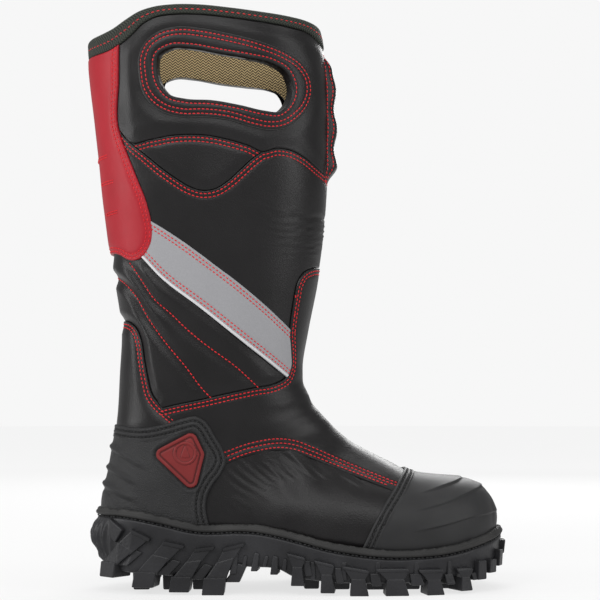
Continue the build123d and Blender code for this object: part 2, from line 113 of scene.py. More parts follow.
def locate(x, z, side=-1):
    """phi and v of side-view points, on one side of the form."""
    x, z = np.atleast_1d(np.asarray(x, float)), np.atleast_1d(np.asarray(z, float))
    low, high = np.zeros_like(x), np.full_like(x, LENGTH - 1e-6)
    for _ in range(36):
        mid = (low + high) / 2
        r = rows(mid)
        above = (r[:, 0] - r[:, 2]) * (z - r[:, 3]) - (r[:, 1] - r[:, 3]) * (x - r[:, 2]) > 0
        high, low = np.where(above, mid, high), np.where(above, low, mid)
    v = (low + high) / 2
    r = rows(v)
    chord = r[:, :2] - r[:, 2:4]
    u = ((x - r[:, 2]) * chord[:, 0] + (z - r[:, 3]) * chord[:, 1]) / (chord ** 2).sum(1)
    ahead = u >= r[:, 6]
    c = np.clip(np.where(ahead, (u - r[:, 6]) / (1 - r[:, 6]), (u - r[:, 6]) / r[:, 6]), -1, 1)
    n = np.where(ahead, r[:, 7], r[:, 8])
    s = (1 - np.abs(c) ** n) ** (1 / n)
    return side * np.arctan2(s, c), v


# ------------------------------------------------------------------ side-view curves
def smooth(points, spacing=1.5):
    """An even polyline through the points, with centred slopes."""
    p = np.array(points, float)
    t = np.concatenate([[0], np.cumsum(np.linalg.norm(np.diff(p, axis=0), axis=1))])
    m = np.gradient(p, t, axis=0)
    s = np.linspace(0, t[-1], max(int(t[-1] / spacing), 4) + 1)
    i = np.clip(np.searchsorted(t, s, side="right") - 1, 0, len(t) - 2)
    h = (t[i + 1] - t[i])[:, None]
    u = (s - t[i])[:, None] / h
    return ((1 + 2 * u) * (1 - u) ** 2 * p[i] + u * (1 - u) ** 2 * h * m[i]
            + u * u * (3 - 2 * u) * p[i + 1] + u * u * (u - 1) * h * m[i + 1])


def ring(points, spacing=1.5):
    """A smooth closed outline through the points."""
    p = list(points)
    wide = p[-3:] + p + p[:3]
    dense = smooth(wide, spacing)
    d = np.linalg.norm(dense - np.array(p[0]), axis=1)
    half = len(dense) // 2
    first = np.argmin(d[:half])
    last = half + np.argmin(d[half:])
    return dense[first:last]


def joined(*parts):
    return np.concatenate([np.array(p, float) for p in parts])


def to_curve(poly, x, z, closed=True):
    """Signed distance in the side view, positive inside, and its gradient."""
    a = poly
    b = np.roll(poly, -1, axis=0) if closed else poly[1:]
    if not closed:
        a = poly[:-1]
    best = np.full(len(x), 1e9)
    gx, gz = np.zeros(len(x)), np.zeros(len(x))
    inside = np.zeros(len(x), bool)
    for (ax, az), (bx, bz) in zip(a, b):
        ex, ez = bx - ax, bz - az
        t = np.clip(((x - ax) * ex + (z - az) * ez) / (ex * ex + ez * ez + 1e-12), 0, 1)
        dx, dz = x - ax - t * ex, z - az - t * ez
        d = dx * dx + dz * dz
        near = d < best
        best = np.where(near, d, best)
        gx, gz = np.where(near, dx, gx), np.where(near, dz, gz)
        if closed and az != bz:
            crosses = (az > z) != (bz > z)
            inside ^= crosses & (x < (bx - ax) * (z - az) / (bz - az) + ax)
    d = np.sqrt(best)
    sign = np.where(inside, 1.0, -1.0) if closed else 1.0
    return sign * d, sign * gx / (d + 1e-9), sign * gz / (d + 1e-9)


TOP_LINE = [(-172, 411), (-163, 411), (-150, 411.5), (-141, 414), (-131, 419.5), (-121, 424.5),
            (-110, 427.3), (-97, 428.5), (-76, 428.4), (-54, 426.7), (-32, 425), (-9, 424), (5, 423.7),
            (30, 423.5)]
BINDING_LINE = [(-172, 397.5), (-160, 397), (-150, 396.5), (-141, 398), (-135, 401), (-127, 406.5),
                (-117, 415.5), (-108, 419.5), (-97, 421), (-76, 421), (-54, 419.2), (-32, 417.3),
                (-9, 415.5), (4, 414), (14, 409), (21, 404.5), (32, 403)]
COLLAR_SEAM = [(-180, 341), (-134.7, 337.3), (-127, 328.5), (-112, 330), (-97, 332.3), (-83, 333),
               (-68, 332), (-54, 329.2), (-39, 325), (-30, 321.3), (-20, 324.2), (-9, 323.5), (2, 319),
               (12, 312.5), (40, 300)]
WAVE_SEAM = [(-134.7, 337.3), (-127, 328.5), (-115, 318.4), (-104, 309), (-93, 301), (-84, 295.4),
             (-73, 292), (-64, 293.5), (-55, 299.3), (-46, 307.6), (-37.5, 315.7), (-30, 321.3)]
STRIP_TOP = [(-125, 278.5), (-110, 270), (-90, 257), (-68, 241), (-46, 224.5), (-26, 208), (-10, 193.5),
             (2, 182)]
STRIP_LOW = [(-180, 290), (-117.5, 244), (-104.5, 230), (-75, 207), (-46, 184), (-16, 160.8), (0, 148)]
VAMP_TOP = [(40, 243), (16, 240.4), (8, 238.4), (1, 234.4), (-3.7, 226.7), (-6, 216), (-8.5, 200),
            (-9.6, 188), (-8.8, 176), (-8.8, 164), (-12, 156.6), (-20, 152), (-35, 149), (-53, 145.2),
            (-75, 140.2), (-90, 137.2), (-104, 134)]
BACKSTAY_EDGE = [(-160, 201), (-133, 199.5), (-127.5, 197.6), (-122.7, 193.3), (-118.8, 184),
                 (-116.2, 169.5), (-113.3, 155), (-110, 143.8), (-104.3, 136.5), (-98.4, 131.4),
                 (-92, 126)]
TRIPLE_SEAM = [(-66, 92), (-54.5, 96), (-42, 100.8), (-29.6, 103.8), (-16.3, 105.2), (-7.4, 104.2),
               (6, 99.6), (20.6, 93.8), (35, 88), (49.5, 82.4), (62, 77.5), (80, 71), (110, 62),
               (165, 52)]
BACK_STRIP_EDGE = [(-135.4, 440), (-135.4, 375), (-135.5, 340), (-132.4, 329.7), (-127, 316), (-121, 301),
                   (-115, 286), (-111.5, 273), (-109.8, 262), (-111.3, 253.4), (-114.6, 248),
                   (-119.5, 243.8), (-124, 242.8), (-128.8, 244.2), (-133.5, 247.6), (-138, 249.3),
                   (-150, 248.6), (-180, 248.6)]
COUNTER_EDGE = [(-175, 124), (-137, 122.2), (-126, 120.2), (-115, 119.8), (-100.5, 122.7), (-86, 127.2),
                (-78, 128.6), (-72, 125.6), (-64, 113.9), (-57.4, 102), (-56, 95.8), (-58.8, 87.8),
                (-66, 77.7), (-69.7, 69), (-70.2, 60.4), (-68, 50), (-66, 30)]
TOE_CAP_EDGE = [(86, 96), (78.6, 88.9), (72.5, 82.7), (67.6, 75.9), (59.3, 64.9), (51.6, 52.2), (43, 35),
                (36, 20)]
WELT_LINE = [(-175, 60.5), (-150, 60.5), (-131, 60.4), (-115, 58), (-98, 54.5), (-86, 51.6), (-74, 49.8),
             (-62, 49.8), (-48, 50.3), (-34, 49.7), (-19, 47), (-2, 42.8), (16, 38), (38, 34.2), (60, 32),
             (82, 32), (105, 33.8), (118, 36), (130, 39), (142, 42.3), (153, 46), (175, 54)]
WEB_LINE = [(-175, 24), (-150, 20), (-136, 16), (-110, 14), (-78, 12.6), (-58, 12.6), (-52, 18),
            (-34, 19.4), (-18, 18), (-8, 13), (6, 10.5), (30, 8.6), (62, 8.4), (90, 9), (110, 11.5),
            (130, 16), (150, 24), (175, 38)]
HANDLE_HOLE = [(-107, 381), (-105.5, 391), (-97, 395.7), (-83, 395.6), (-61, 391.9), (-39.5, 389),
               (-24, 386.4), (-13, 380.8), (-8.3, 369), (-11.5, 358), (-18.5, 351.2), (-29, 351.3),
               (-46.6, 354.6), (-67, 357.8), (-86, 358.8), (-97.5, 362), (-104, 369.5)]
HANDLE_PATCH = [(-120.3, 377), (-120.8, 389), (-116, 401), (-105, 408.9), (-90, 411.6), (-76, 410.4),
                (-54, 406.6), (-32, 401.9), (-13.4, 396), (-2, 389.5), (5, 379.5), (6.3, 367),
                (2.2, 354.7), (-5, 345.8), (-14, 339.4), (-26, 337.2), (-39, 339.2), (-54, 343.3),
                (-72, 345.3), (-89, 345.5), (-101, 348.7), (-112, 356.5), (-118, 366)]
QUILT_FRONT = [(-128, 242), (-119.6, 229.8), (-108.3, 213.3), (-97.2, 203.6), (-82.5, 189.6),
               (-67.9, 178), (-49.6, 164.9), (-29.7, 146.7)]
QUILT_BACK = [(-138.5, 232.2), (-132.2, 227.1), (-123.5, 217.6), (-113.5, 200.3), (-100.8, 182.5),
              (-86.1, 164.9), (-71.4, 146), (-66.3, 140.9)]
BADGE = [(-109.5, 101.5), (-79.5, 118), (-71.5, 101), (-78.5, 72)]

# ------------------------------------------------------------------ cut patches of the form
rng = np.random.default_rng(7)
NOISE = [(rng.normal(size=3), rng.uniform(0, 6.28)) for _ in range(24)]


def undulate(p, wavelength):
    """Smooth noise of about unit size, from a few fixed waves."""
    total = np.zeros(len(p))
    for direction, phase in NOISE:
        total += np.sin(p @ direction * (6.28 / wavelength) * 0.6 + phase)
    return total / 4.9


class Patch:
    """A triangle mesh in phi and v that carries fields, cut and split along them."""

    def __init__(self, phi_span, v_span, step=None):
        step = step or STEP
        nv = max(int((v_span[1] - v_span[0]) / step), 2)
        nphi = max(int((phi_span[1] - phi_span[0]) * 68 / step), 3)
        phi, v = np.meshgrid(np.linspace(*phi_span, nphi + 1), np.linspace(*v_span, nv + 1))
        self.data = {"phi": phi.ravel(), "v": v.ravel()}
        i = np.arange(nphi * nv).reshape(nv, nphi)
        a = (i // nphi) * (nphi + 1) + i % nphi
        b, c, d = a + 1, a + nphi + 2, a + nphi + 1
        odd = ((i // nphi + i % nphi) % 2).astype(bool)[..., None]
        one = np.where(odd, np.stack([a, d, b], -1), np.stack([a, c, b], -1)).reshape(-1, 3)
        two = np.where(odd, np.stack([b, d, c], -1), np.stack([a, d, c], -1)).reshape(-1, 3)
        self.tri = np.concatenate([one, two])

    def add(self, name, measure):
        self.data[name] = measure(self.data["phi"], self.data["v"])

    def split(self, name, level=0.0, keep=False):
        """Splits triangles where a field equals level. keep drops what lies below it."""
        f = self.data[name] - level
        f = np.where(np.abs(f) < 0.03, 0.03, f)
        tri, above = self.tri, f > 0
        count = above[tri].sum(1)
        whole = tri[(count == 3) | ((count == 0) & (not keep))]
        mixed = tri[(count == 1) | (count == 2)]
        pieces = [whole]
        if len(mixed):
            lone_above = above[mixed].sum(1) == 1
            lone = np.where(lone_above[:, None], above[mixed], ~above[mixed])
            k = np.argmax(lone, axis=1)
            n = np.arange(len(mixed))
            a, b, c = mixed[n, k], mixed[n, (k + 1) % 3], mixed[n, (k + 2) % 3]
            edges = np.sort(np.concatenate([np.stack([a, b], -1), np.stack([a, c], -1)]), axis=1)
            unique, index = np.unique(edges, axis=0, return_inverse=True)
            index = index.ravel() + len(f)
            t = f[unique[:, 0]] / (f[unique[:, 0]] - f[unique[:, 1]])
            for key, values in self.data.items():
                extra = values[unique[:, 0]] * (1 - t) + values[unique[:, 1]] * t
                self.data[key] = np.concatenate([values, extra])
            ab, ac = index[:len(mixed)], index[len(mixed):]
            tip = np.stack([a, ab, ac], -1)
            rest = np.concatenate([np.stack([ab, b, c], -1), np.stack([ab, c, ac], -1)])
            if keep:
                pieces += [tip[lone_above], rest[np.tile(~lone_above, 2)]]
            else:
                pieces += [tip, rest]
        self.tri = np.concatenate(pieces)
        used = np.unique(self.tri)
        new = np.full(len(self.data["phi"]), -1)
        new[used] = np.arange(len(used))
        self.data = {key: values[used] for key, values in self.data.items()}
        self.tri = new[self.tri]


def field(poly, closed=True):
    """A function giving the distance along the surface from a side-view outline."""
    def measure(phi, v):
        p = surface(phi, v)
        d, gx, gz = to_curve(poly, p[:, 0], p[:, 2], closed)
        n = normals(phi, v)
        across = np.sqrt(np.clip(1 - (gx * n[:, 0] + gz * n[:, 2]) ** 2, 0.03, 1))
        return d / across
    return measure


def chains(patch, name, level):
    """Polylines of phi, v where a field of the patch equals level."""
    f = patch.data[name] - level
    f = np.where(np.abs(f) < 1e-6, 1e-6, f)
    above = f > 0
    all_phi, all_v = patch.data["phi"], patch.data["v"]
    tri = patch.tri[(above[patch.tri].sum(1) % 3) != 0]
    links, place = {}, {}
    for t in tri:
        ends = []
        for i, j in ((0, 1), (1, 2), (2, 0)):
            a, b = t[i], t[j]
            if above[a] != above[b]:
                key = (a, b) if a < b else (b, a)
                ends.append(key)
                if key not in place:
                    w = f[key[0]] / (f[key[0]] - f[key[1]])
                    place[key] = ((1 - w) * all_phi[key[0]] + w * all_phi[key[1]],
                                  (1 - w) * all_v[key[0]] + w * all_v[key[1]])
        links.setdefault(ends[0], []).append(ends[1])
        links.setdefault(ends[1], []).append(ends[0])
    found, seen = [], set()
    starts = [k for k in links if len(links[k]) == 1] + list(links)
    for start in starts:
        if start in seen:
            continue
        line, here = [start], start
        seen.add(start)
        while True:
            following = [k for k in links[here] if k not in seen]
            if not following:
                break
            here = following[0]
            seen.add(here)
            line.append(here)
        if len(line) > 2:
            closed = len(links[start]) == 2 and start in links[line[-1]]
            if closed:
                line.append(start)
            found.append(np.array([place[k] for k in line]))
    return found


# ------------------------------------------------------------------ meshes
def mesh_object(name, points, faces, material):
    """A mesh in metres from points in millimetres."""
    mesh = bpy.data.meshes.new(name)
    mesh.vertices.add(len(points))
    mesh.vertices.foreach_set("co", (np.asarray(points) * MM).ravel())
    faces = np.asarray(faces)
    width = faces.shape[1]
    mesh.loops.add(faces.size)
    mesh.loops.foreach_set("vertex_index", faces.ravel())
    mesh.polygons.add(len(faces))
    mesh.polygons.foreach_set("loop_start", np.arange(len(faces)) * width)
    mesh.polygons.foreach_set("use_smooth", np.full(len(faces), True))
    mesh.update(calc_edges=True)
    mesh.validate()
    obj = bpy.data.objects.new(name, mesh)
    bpy.context.scene.collection.objects.link(obj)
    mesh.materials.append(material)
    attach(obj, "root")
    return obj


# ------------------------------------------------------------------ materials
def nodes_of(name, colour, roughness, spec=0.5):
    material = bpy.data.materials.new(name)
    material.use_nodes = True
    tree = material.node_tree
    shader = tree.nodes["Principled BSDF"]
    shader.inputs["Base Color"].default_value = (*colour, 1)
    shader.inputs["Roughness"].default_value = roughness
    shader.inputs["Specular IOR Level"].default_value = spec
    return material, tree, shader


def texture_point(tree, stretch=(1, 1, 1)):
    place = tree.nodes.new("ShaderNodeTexCoord")
    mapping = tree.nodes.new("ShaderNodeMapping")
    mapping.inputs["Scale"].default_value = stretch
    tree.links.new(place.outputs["Object"], mapping.inputs["Vector"])
    return mapping.outputs["Vector"]


def colour_spread(tree, shader, factor, low, high):
    ramp = tree.nodes.new("ShaderNodeValToRGB")
    ramp.color_ramp.elements[0].position = 0.3
    ramp.color_ramp.elements[1].position = 0.7
    ramp.color_ramp.elements[0].color = (*low, 1)
    ramp.color_ramp.elements[1].color = (*high, 1)
    tree.links.new(factor, ramp.inputs["Fac"])
    tree.links.new(ramp.outputs["Color"], shader.inputs["Base Color"])


def bumps(tree, shader, layers):
    """Stacks bump layers, each a height output, a strength and a distance in metres."""
    previous = None
    for height, strength, distance in layers:
        bump = tree.nodes.new("ShaderNodeBump")
        bump.inputs["Strength"].default_value = strength
        bump.inputs["Distance"].default_value = distance
        tree.links.new(height, bump.inputs["Height"])
        if previous:
            tree.links.new(previous.outputs["Normal"], bump.inputs["Normal"])
        previous = bump
    tree.links.new(previous.outputs["Normal"], shader.inputs["Normal"])


def noise(tree, point, scale, detail=3.0, rough=0.5):
    node = tree.nodes.new("ShaderNodeTexNoise")
    node.inputs["Scale"].default_value = scale
    node.inputs["Detail"].default_value = detail
    node.inputs["Roughness"].default_value = rough
    tree.links.new(point, node.inputs["Vector"])
    return node.outputs["Fac"]


def cells(tree, point, scale, feature="F1"):
    node = tree.nodes.new("ShaderNodeTexVoronoi")
    node.feature = feature
    node.inputs["Scale"].default_value = scale
    tree.links.new(point, node.inputs["Vector"])
    return node.outputs["Distance"]


def spread_roughness(tree, shader, factor, low, high):
    span = tree.nodes.new("ShaderNodeMapRange")
    span.inputs["To Min"].default_value = low
    span.inputs["To Max"].default_value = high
    tree.links.new(factor, span.inputs["Value"])
    tree.links.new(span.outputs["Result"], shader.inputs["Roughness"])


def leather(name, colour, bright, roughness=0.42, grain=0.12):
    material, tree, shader = nodes_of(name, colour, roughness, 0.23)
    point = texture_point(tree)
    cloud = noise(tree, point, 28, 4)
    colour_spread(tree, shader, cloud, colour, bright)
    spread_roughness(tree, shader, noise(tree, point, 45, 3), roughness - 0.07, roughness + 0.1)
    bumps(tree, shader, [(noise(tree, point, 60, 3), 0.25, 0.0008), (cells(tree, point, 1100), grain, 0.0003),
                         (noise(tree, point, 1700, 2), grain, 0.0002)])
    return material


def rubber(name, colour, bright, roughness=0.55, pebble=0.0, scale=900):
    material, tree, shader = nodes_of(name, colour, roughness, 0.2)
    point = texture_point(tree)
    colour_spread(tree, shader, noise(tree, point, 35, 4), colour, bright)
    layers = [(noise(tree, point, 1400, 2), 0.12, 0.0002)]
    if pebble:
        layers.append((cells(tree, point, scale), pebble, 0.0006))
    bumps(tree, shader, layers)
    return material


def herringbone(tree, u, v, pitch, rib):
    """Slanted ribs that turn back every pitch of v, as a height from 0 to 1."""
    def maths(operation, a, b=None):
        node = tree.nodes.new("ShaderNodeMath")
        node.operation = operation
        for socket, value in zip(node.inputs, (a, b)):
            if value is None:
                continue
            if isinstance(value, (int, float)):
                socket.default_value = value
            else:
                tree.links.new(value, socket)
        return node.outputs[0]
    turned = maths("PINGPONG", v, pitch)
    phase = maths("MULTIPLY", maths("ADD", u, turned), 6.2832 / rib)
    return maths("ADD", maths("MULTIPLY", maths("SINE", phase), 0.5), 0.5)


def woven(name, low, high, pitch, rib, from_uv=False, roughness=0.8):
    material, tree, shader = nodes_of(name, low, roughness, 0.3)
    place = tree.nodes.new("ShaderNodeTexCoord")
    parts = tree.nodes.new("ShaderNodeSeparateXYZ")
    tree.links.new(place.outputs["UV" if from_uv else "Object"], parts.inputs["Vector"])
    u = parts.outputs["X" if from_uv else "Z"]
    v = parts.outputs["Y" if from_uv else "X"]
    height = herringbone(tree, u, v, pitch, rib)
    colour_spread(tree, shader, height, low, high)
    point = texture_point(tree)
    bumps(tree, shader, [(height, 0.6, 0.0004), (noise(tree, point, 900, 2), 0.3, 0.0002)])
    return material


def cloth(name, low, high, roughness=0.9, scale=900, bump=0.4):
    material, tree, shader = nodes_of(name, low, roughness, 0.3)
    point = texture_point(tree)
    grain = noise(tree, point, scale, 3)
    colour_spread(tree, shader, grain, low, high)
    bumps(tree, shader, [(grain, bump, 0.0004)])
    return material


BLACK = leather("black_leather", (0.0030, 0.0026, 0.0028), (0.0062, 0.0056, 0.0060), 0.35, 0.22)
RAW_EDGE = cloth("raw_leather_edge", (0.03, 0.03, 0.03), (0.075, 0.072, 0.07), 0.8, 900)
RED = leather("red_leather", (0.235, 0.004, 0.010), (0.29, 0.006, 0.014), 0.45)
# painted shade: a near-black colour laid along the stitch grooves of the toe and heel guards, darker than the
# guard rubber, where the grooves lie in shade
GROOVE_SHADE = rubber("painted_groove_shade", (0.003, 0.003, 0.003), (0.004, 0.004, 0.004), 0.7)
GUARD = rubber("guard_rubber", (0.013, 0.013, 0.0135), (0.019, 0.019, 0.0195), 0.5)
PEBBLE = rubber("pebbled_rubber", (0.012, 0.012, 0.0125), (0.018, 0.018, 0.0185), 0.5, 0.6, 1150)
TREAD = rubber("tread_rubber", (0.011, 0.011, 0.012), (0.021, 0.021, 0.023), 0.42, 0.25, 420)
WELT = rubber("welt_rubber", (0.011, 0.011, 0.011), (0.026, 0.0255, 0.025), 0.6)
BADGE_RED = rubber("badge_rubber", (0.115, 0.011, 0.011), (0.15, 0.015, 0.015), 0.5)
# painted shade: a darker red laid in the badge's rim groove and in a band round the foot of its raised mark
BADGE_SHADE = rubber("badge_painted_shade", (0.055, 0.006, 0.006), (0.07, 0.008, 0.008), 0.6)
TAPE = cloth("reflective_tape", (0.215, 0.215, 0.225), (0.235, 0.235, 0.245), 0.4, 900, 0.1)
# painted highlight: a paler grey band along the lower edge of the reflective tape, standing in for sheen
TAPE_SHEEN = cloth("reflective_tape_painted_sheen", (0.42, 0.42, 0.43), (0.48, 0.48, 0.49), 0.5, 900, 0.1)
THREAD = cloth("red_thread", (0.42, 0.006, 0.010), (0.60, 0.014, 0.020), 0.55, 2500)
BINDING = woven("binding_tape", (0.004, 0.005, 0.004), (0.030, 0.034, 0.026), 0.0026, 0.0024, True)
LINING = woven("gold_lining", (0.030, 0.020, 0.009), (0.36, 0.27, 0.135), 0.0022, 0.0022)
FOAM = cloth("foam", (0.25, 0.25, 0.25), (0.34, 0.34, 0.34), 0.95, 600)
FELT = cloth("felt", (0.5, 0.46, 0.36), (0.62, 0.57, 0.46), 0.95, 500)
FILM = cloth("membrane_film", (0.68, 0.68, 0.66), (0.75, 0.75, 0.73), 0.4, 120)
BOARD = cloth("pressed_board", (0.42, 0.33, 0.2), (0.52, 0.42, 0.27), 0.85, 300)
STEEL, steel_tree, steel_shader = nodes_of("bare_steel", (0.5, 0.51, 0.53), 0.32)
steel_shader.inputs["Metallic"].default_value = 1.0
brushed = noise(steel_tree, texture_point(steel_tree, (60, 900, 900)), 1, 2)
bumps(steel_tree, steel_shader, [(brushed, 0.2, 0.0001)])
FOOTBED = cloth("footbed_textile", (0.03, 0.03, 0.03), (0.055, 0.055, 0.055), 0.9, 1200)


# ------------------------------------------------------------------ panels
def welded(p, patch):
    """Joins the two edges that meet at the back of the boot."""
    phi, v = patch.data["phi"], patch.data["v"]
    seam = np.abs(np.abs(phi) - math.pi) < 1e-5
    order = np.where(seam)[0]
    target = np.arange(len(p))
    first = {}
    for k in order:
        key = round(float(v[k]), 2)
        target[k] = first.setdefault(key, k)
    return target


def boundary(tri):
    """Directed edges with a triangle on one side only."""
    edges = np.concatenate([tri[:, [0, 1]], tri[:, [1, 2]], tri[:, [2, 0]]])
    key = np.sort(edges, axis=1)
    unique, index, count = np.unique(key, axis=0, return_inverse=True, return_counts=True)
    return edges[count[index.ravel()] == 1]


def lay(patch, height, name, material, skirt=2.2, extra=None):
    """Lifts the patch off the form and closes its edges with a skirt.

    extra is a second material and a mask of the points it covers.
    """
    phi, v = patch.data["phi"], patch.data["v"]
    n = normals(phi, v)
    p = surface(phi, v) + n * height[:, None]
    tip = v > LENGTH - 1e-6
    if tip.any():
        p[tip] = p[tip].mean(axis=0)
    target = welded(p, patch)
    if tip.any():
        target[tip] = np.flatnonzero(tip)[0]
    tri = target[patch.tri]
    tri = tri[(tri[:, 0] != tri[:, 1]) & (tri[:, 1] != tri[:, 2]) & (tri[:, 2] != tri[:, 0])]
    rim = boundary(tri)
    ends = np.unique(rim)
    lower = np.full(len(p), -1)
    lower[ends] = len(p) + np.arange(len(ends))
    depth = skirt if np.isscalar(skirt) else skirt[ends]
    low_points = p[ends] - n[ends] * np.reshape(depth, (-1, 1))
    a, b = rim[:, 0], rim[:, 1]
    walls = np.concatenate([np.stack([b, a, lower[a]], -1), np.stack([b, lower[a], lower[b]], -1)])
    obj = mesh_object(name, np.concatenate([p, low_points]), np.concatenate([tri, walls]), material)
    if extra:
        obj.data.materials.append(extra[0])
        mark = np.zeros(len(obj.data.polygons), np.int32)
        chosen = extra[1][patch.tri].all(1)
        mark[:len(chosen)] = chosen
        obj.data.polygons.foreach_set("material_index", mark)
    return obj


def rounding(e, radius, drop):
    """Height lost near a cut edge."""
    t = np.clip(1 - e / radius, 0, 1)
    return -drop * (1 - np.sqrt(1 - t * t * 0.995))


def ease(x, low, high):
    t = np.clip((x - low) / (high - low), 0, 1)
    return t * t * (3 - 2 * t)


def groove(d, depth, width=0.9):
    return -depth * np.exp(-(d / width) ** 2)


CAPSULE_T = [-0.92, -0.45, 0.45, 0.92]
CAPSULE_R = [0.55, 1.0, 1.0, 0.55]
stitches = {}


def sew_round(seam, p, n, pitch, long, r):
    """Stitches along a ring of points in millimetres, with their outward directions."""
    ahead = np.roll(p, -1, axis=0) - np.roll(p, 1, axis=0)
    ahead /= np.linalg.norm(ahead, axis=1)[:, None]
    run_ = np.concatenate([[0], np.cumsum(np.linalg.norm(np.diff(p, axis=0), axis=1))])
    for s in np.arange(0, run_[-1], pitch):
        k = int(np.clip(np.searchsorted(run_, s), 0, len(p) - 1))
        stitches.setdefault(seam, []).append((p[k], ahead[k], np.cross(n[k], ahead[k]), n[k], long, r))


def sew(seam, line, height, pitch=3.1, long=2.25, r=0.40):
    """Adds stitches along a phi, v line, at a height above the form."""
    phi, v = line[:, 0], line[:, 1]
    n = normals(phi, v)
    p = surface(phi, v) + n * np.reshape(height, (-1, 1))
    run = np.concatenate([[0], np.cumsum(np.linalg.norm(np.diff(p, axis=0), axis=1))])
    if run[-1] < pitch:
        return
    count = max(int(run[-1] / pitch), 1)
    s = (np.arange(count) + 0.5) * run[-1] / count
    at = np.stack([np.interp(s, run, p[:, k]) for k in range(3)], -1)
    up = np.stack([np.interp(s, run, n[:, k]) for k in range(3)], -1)
    up /= np.linalg.norm(up, axis=1)[:, None]
    ahead = np.stack([np.interp(s + 0.8, run, p[:, k]) for k in range(3)], -1)
    back = np.stack([np.interp(s - 0.8, run, p[:, k]) for k in range(3)], -1)
    along = ahead - back
    along /= np.linalg.norm(along, axis=1)[:, None] + 1e-9
    across = np.cross(up, along)
    for k in range(count):
        stitches.setdefault(seam, []).append((at[k], along[k], across[k], up[k], long, r))


def bake_stitches():
    ring_angles = np.arange(6) * math.pi / 3
    for seam, items in stitches.items():
        points, faces = [], []
        for at, along, across, up, long, r in items:
            base = len(points)
            points.append(at - along * long / 2 - up * r * 0.8)
            for t, k in zip(CAPSULE_T, CAPSULE_R):
                lift = r * (0.25 - 0.75 * t * t)
                for angle in ring_angles:
                    points.append(at + along * t * long / 2 + across * math.cos(angle) * r * k
                                  + up * (math.sin(angle) * r * k + lift))
            points.append(at + along * long / 2 - up * r * 0.8)
            for j in range(6):
                q = (j + 1) % 6
                faces.append((base, base + 1 + q, base + 1 + j))
                for ringed in range(3):
                    o = base + 1 + ringed * 6
                    faces.append((o + j, o + q, o + 6 + q))
                    faces.append((o + j, o + 6 + q, o + 6 + j))
                last = base + 25
                faces.append((last, base + 19 + j, base + 19 + q))
        black = seam.startswith("guard")
        mesh_object("stitches_" + seam, points, faces, GUARD if black else THREAD)


def build(name, fields, span, material, base, replaces=(), holes=(), rows_=(), shape=None, skirt=2.2,
          radius=1.3, drop=1.0, phi=(-math.pi, math.pi), seam=None, step=None, extra=None, dent=0.35):
    """Cuts a panel out of the form and sews its rows.

    fields are measures, positive inside the panel, and holes the same for openings. rows_ are pairs of a
    measure and the levels where stitches run. extra is a second material, the function that says where
    it goes, and the cuts round it.
    """
    patch = Patch(phi, span, step)
    for k, measure in enumerate(fields):
        patch.add("f%d" % k, measure)
        patch.split("f%d" % k, 0, keep=True)
    for k, measure in enumerate(holes):
        patch.add("h", measure)
        patch.data["h"] = -patch.data["h"]
        patch.split("h", 0, keep=True)
    keys = ["f%d" % k for k in range(len(fields))] + (["h"] if holes else [])
    patch.data["e"] = np.minimum.reduce([patch.data[k] for k in keys])
    patch.split("e", 0.45)
    patch.split("e", 1.3)
    for k, (measure, levels) in enumerate(rows_):
        patch.add("r%d" % k, measure)
        for level in levels:
            patch.split("r%d" % k, level)
    for key, level in (extra[2] if extra else ()):
        patch.split(key, level)
    e = patch.data["e"]
    height = base + rounding(e, radius, drop)
    for k, (measure, levels) in enumerate(rows_):
        for level in levels:
            height = height + groove(patch.data["r%d" % k] - level, dent)
    if shape:
        height = height + shape(patch)
    if not np.isscalar(skirt):
        skirt = np.where(patch.data["h"] < 1.0, skirt[1], skirt[0])
    mask = extra[1](patch) if extra else None
    obj = lay(patch, height, name, material, skirt, (extra[0], mask) if extra else None)
    if replaces:
        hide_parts(*replaces)
    for k, (measure, levels) in enumerate(rows_):
        for level in levels:
            for line in chains(patch, "r%d" % k, level):
                rise = base - dent * 0.6
                if shape:
                    probe = Probe(line)
                    for j, inner in enumerate(fields):
                        probe.data["f%d" % j] = inner(line[:, 0], line[:, 1])
                    if holes:
                        probe.data["h"] = -holes[0](line[:, 0], line[:, 1])
                    probe.data["e"] = np.minimum.reduce([probe.data[key] for key in keys])
                    rise = rise + shape(probe)
                sew(seam or name, line, rise)


class Probe:
    """The fields of a panel at the points of one line."""

    def __init__(self, line):
        self.data = {"phi": line[:, 0], "v": line[:, 1]}


def place_of(patch):
    return surface(patch.data["phi"], patch.data["v"])


collar_curve, wave_curve = smooth(COLLAR_SEAM, 2.5), smooth(WAVE_SEAM, 2.5)
binding_curve, top_curve = smooth(BINDING_LINE, 2.5), smooth(TOP_LINE, 2.5)
strip_top_curve, strip_low_curve = smooth(STRIP_TOP, 2.5), smooth(STRIP_LOW, 2.5)
vamp_curve, backstay_curve = smooth(VAMP_TOP, 2.5), smooth(BACKSTAY_EDGE, 2.5)
triple_curve, back_strip_curve = smooth(TRIPLE_SEAM, 2.5), smooth(BACK_STRIP_EDGE, 2.5)
counter_curve, toe_curve = smooth(COUNTER_EDGE, 2.5), smooth(TOE_CAP_EDGE, 2.5)
welt_curve = smooth(WELT_LINE, 3)
hole_curve, patch_curve = ring(HANDLE_HOLE, 2), ring(HANDLE_PATCH, 2)


def between(curve, low, high):
    return curve[(curve[:, 0] >= low) & (curve[:, 0] <= high)]


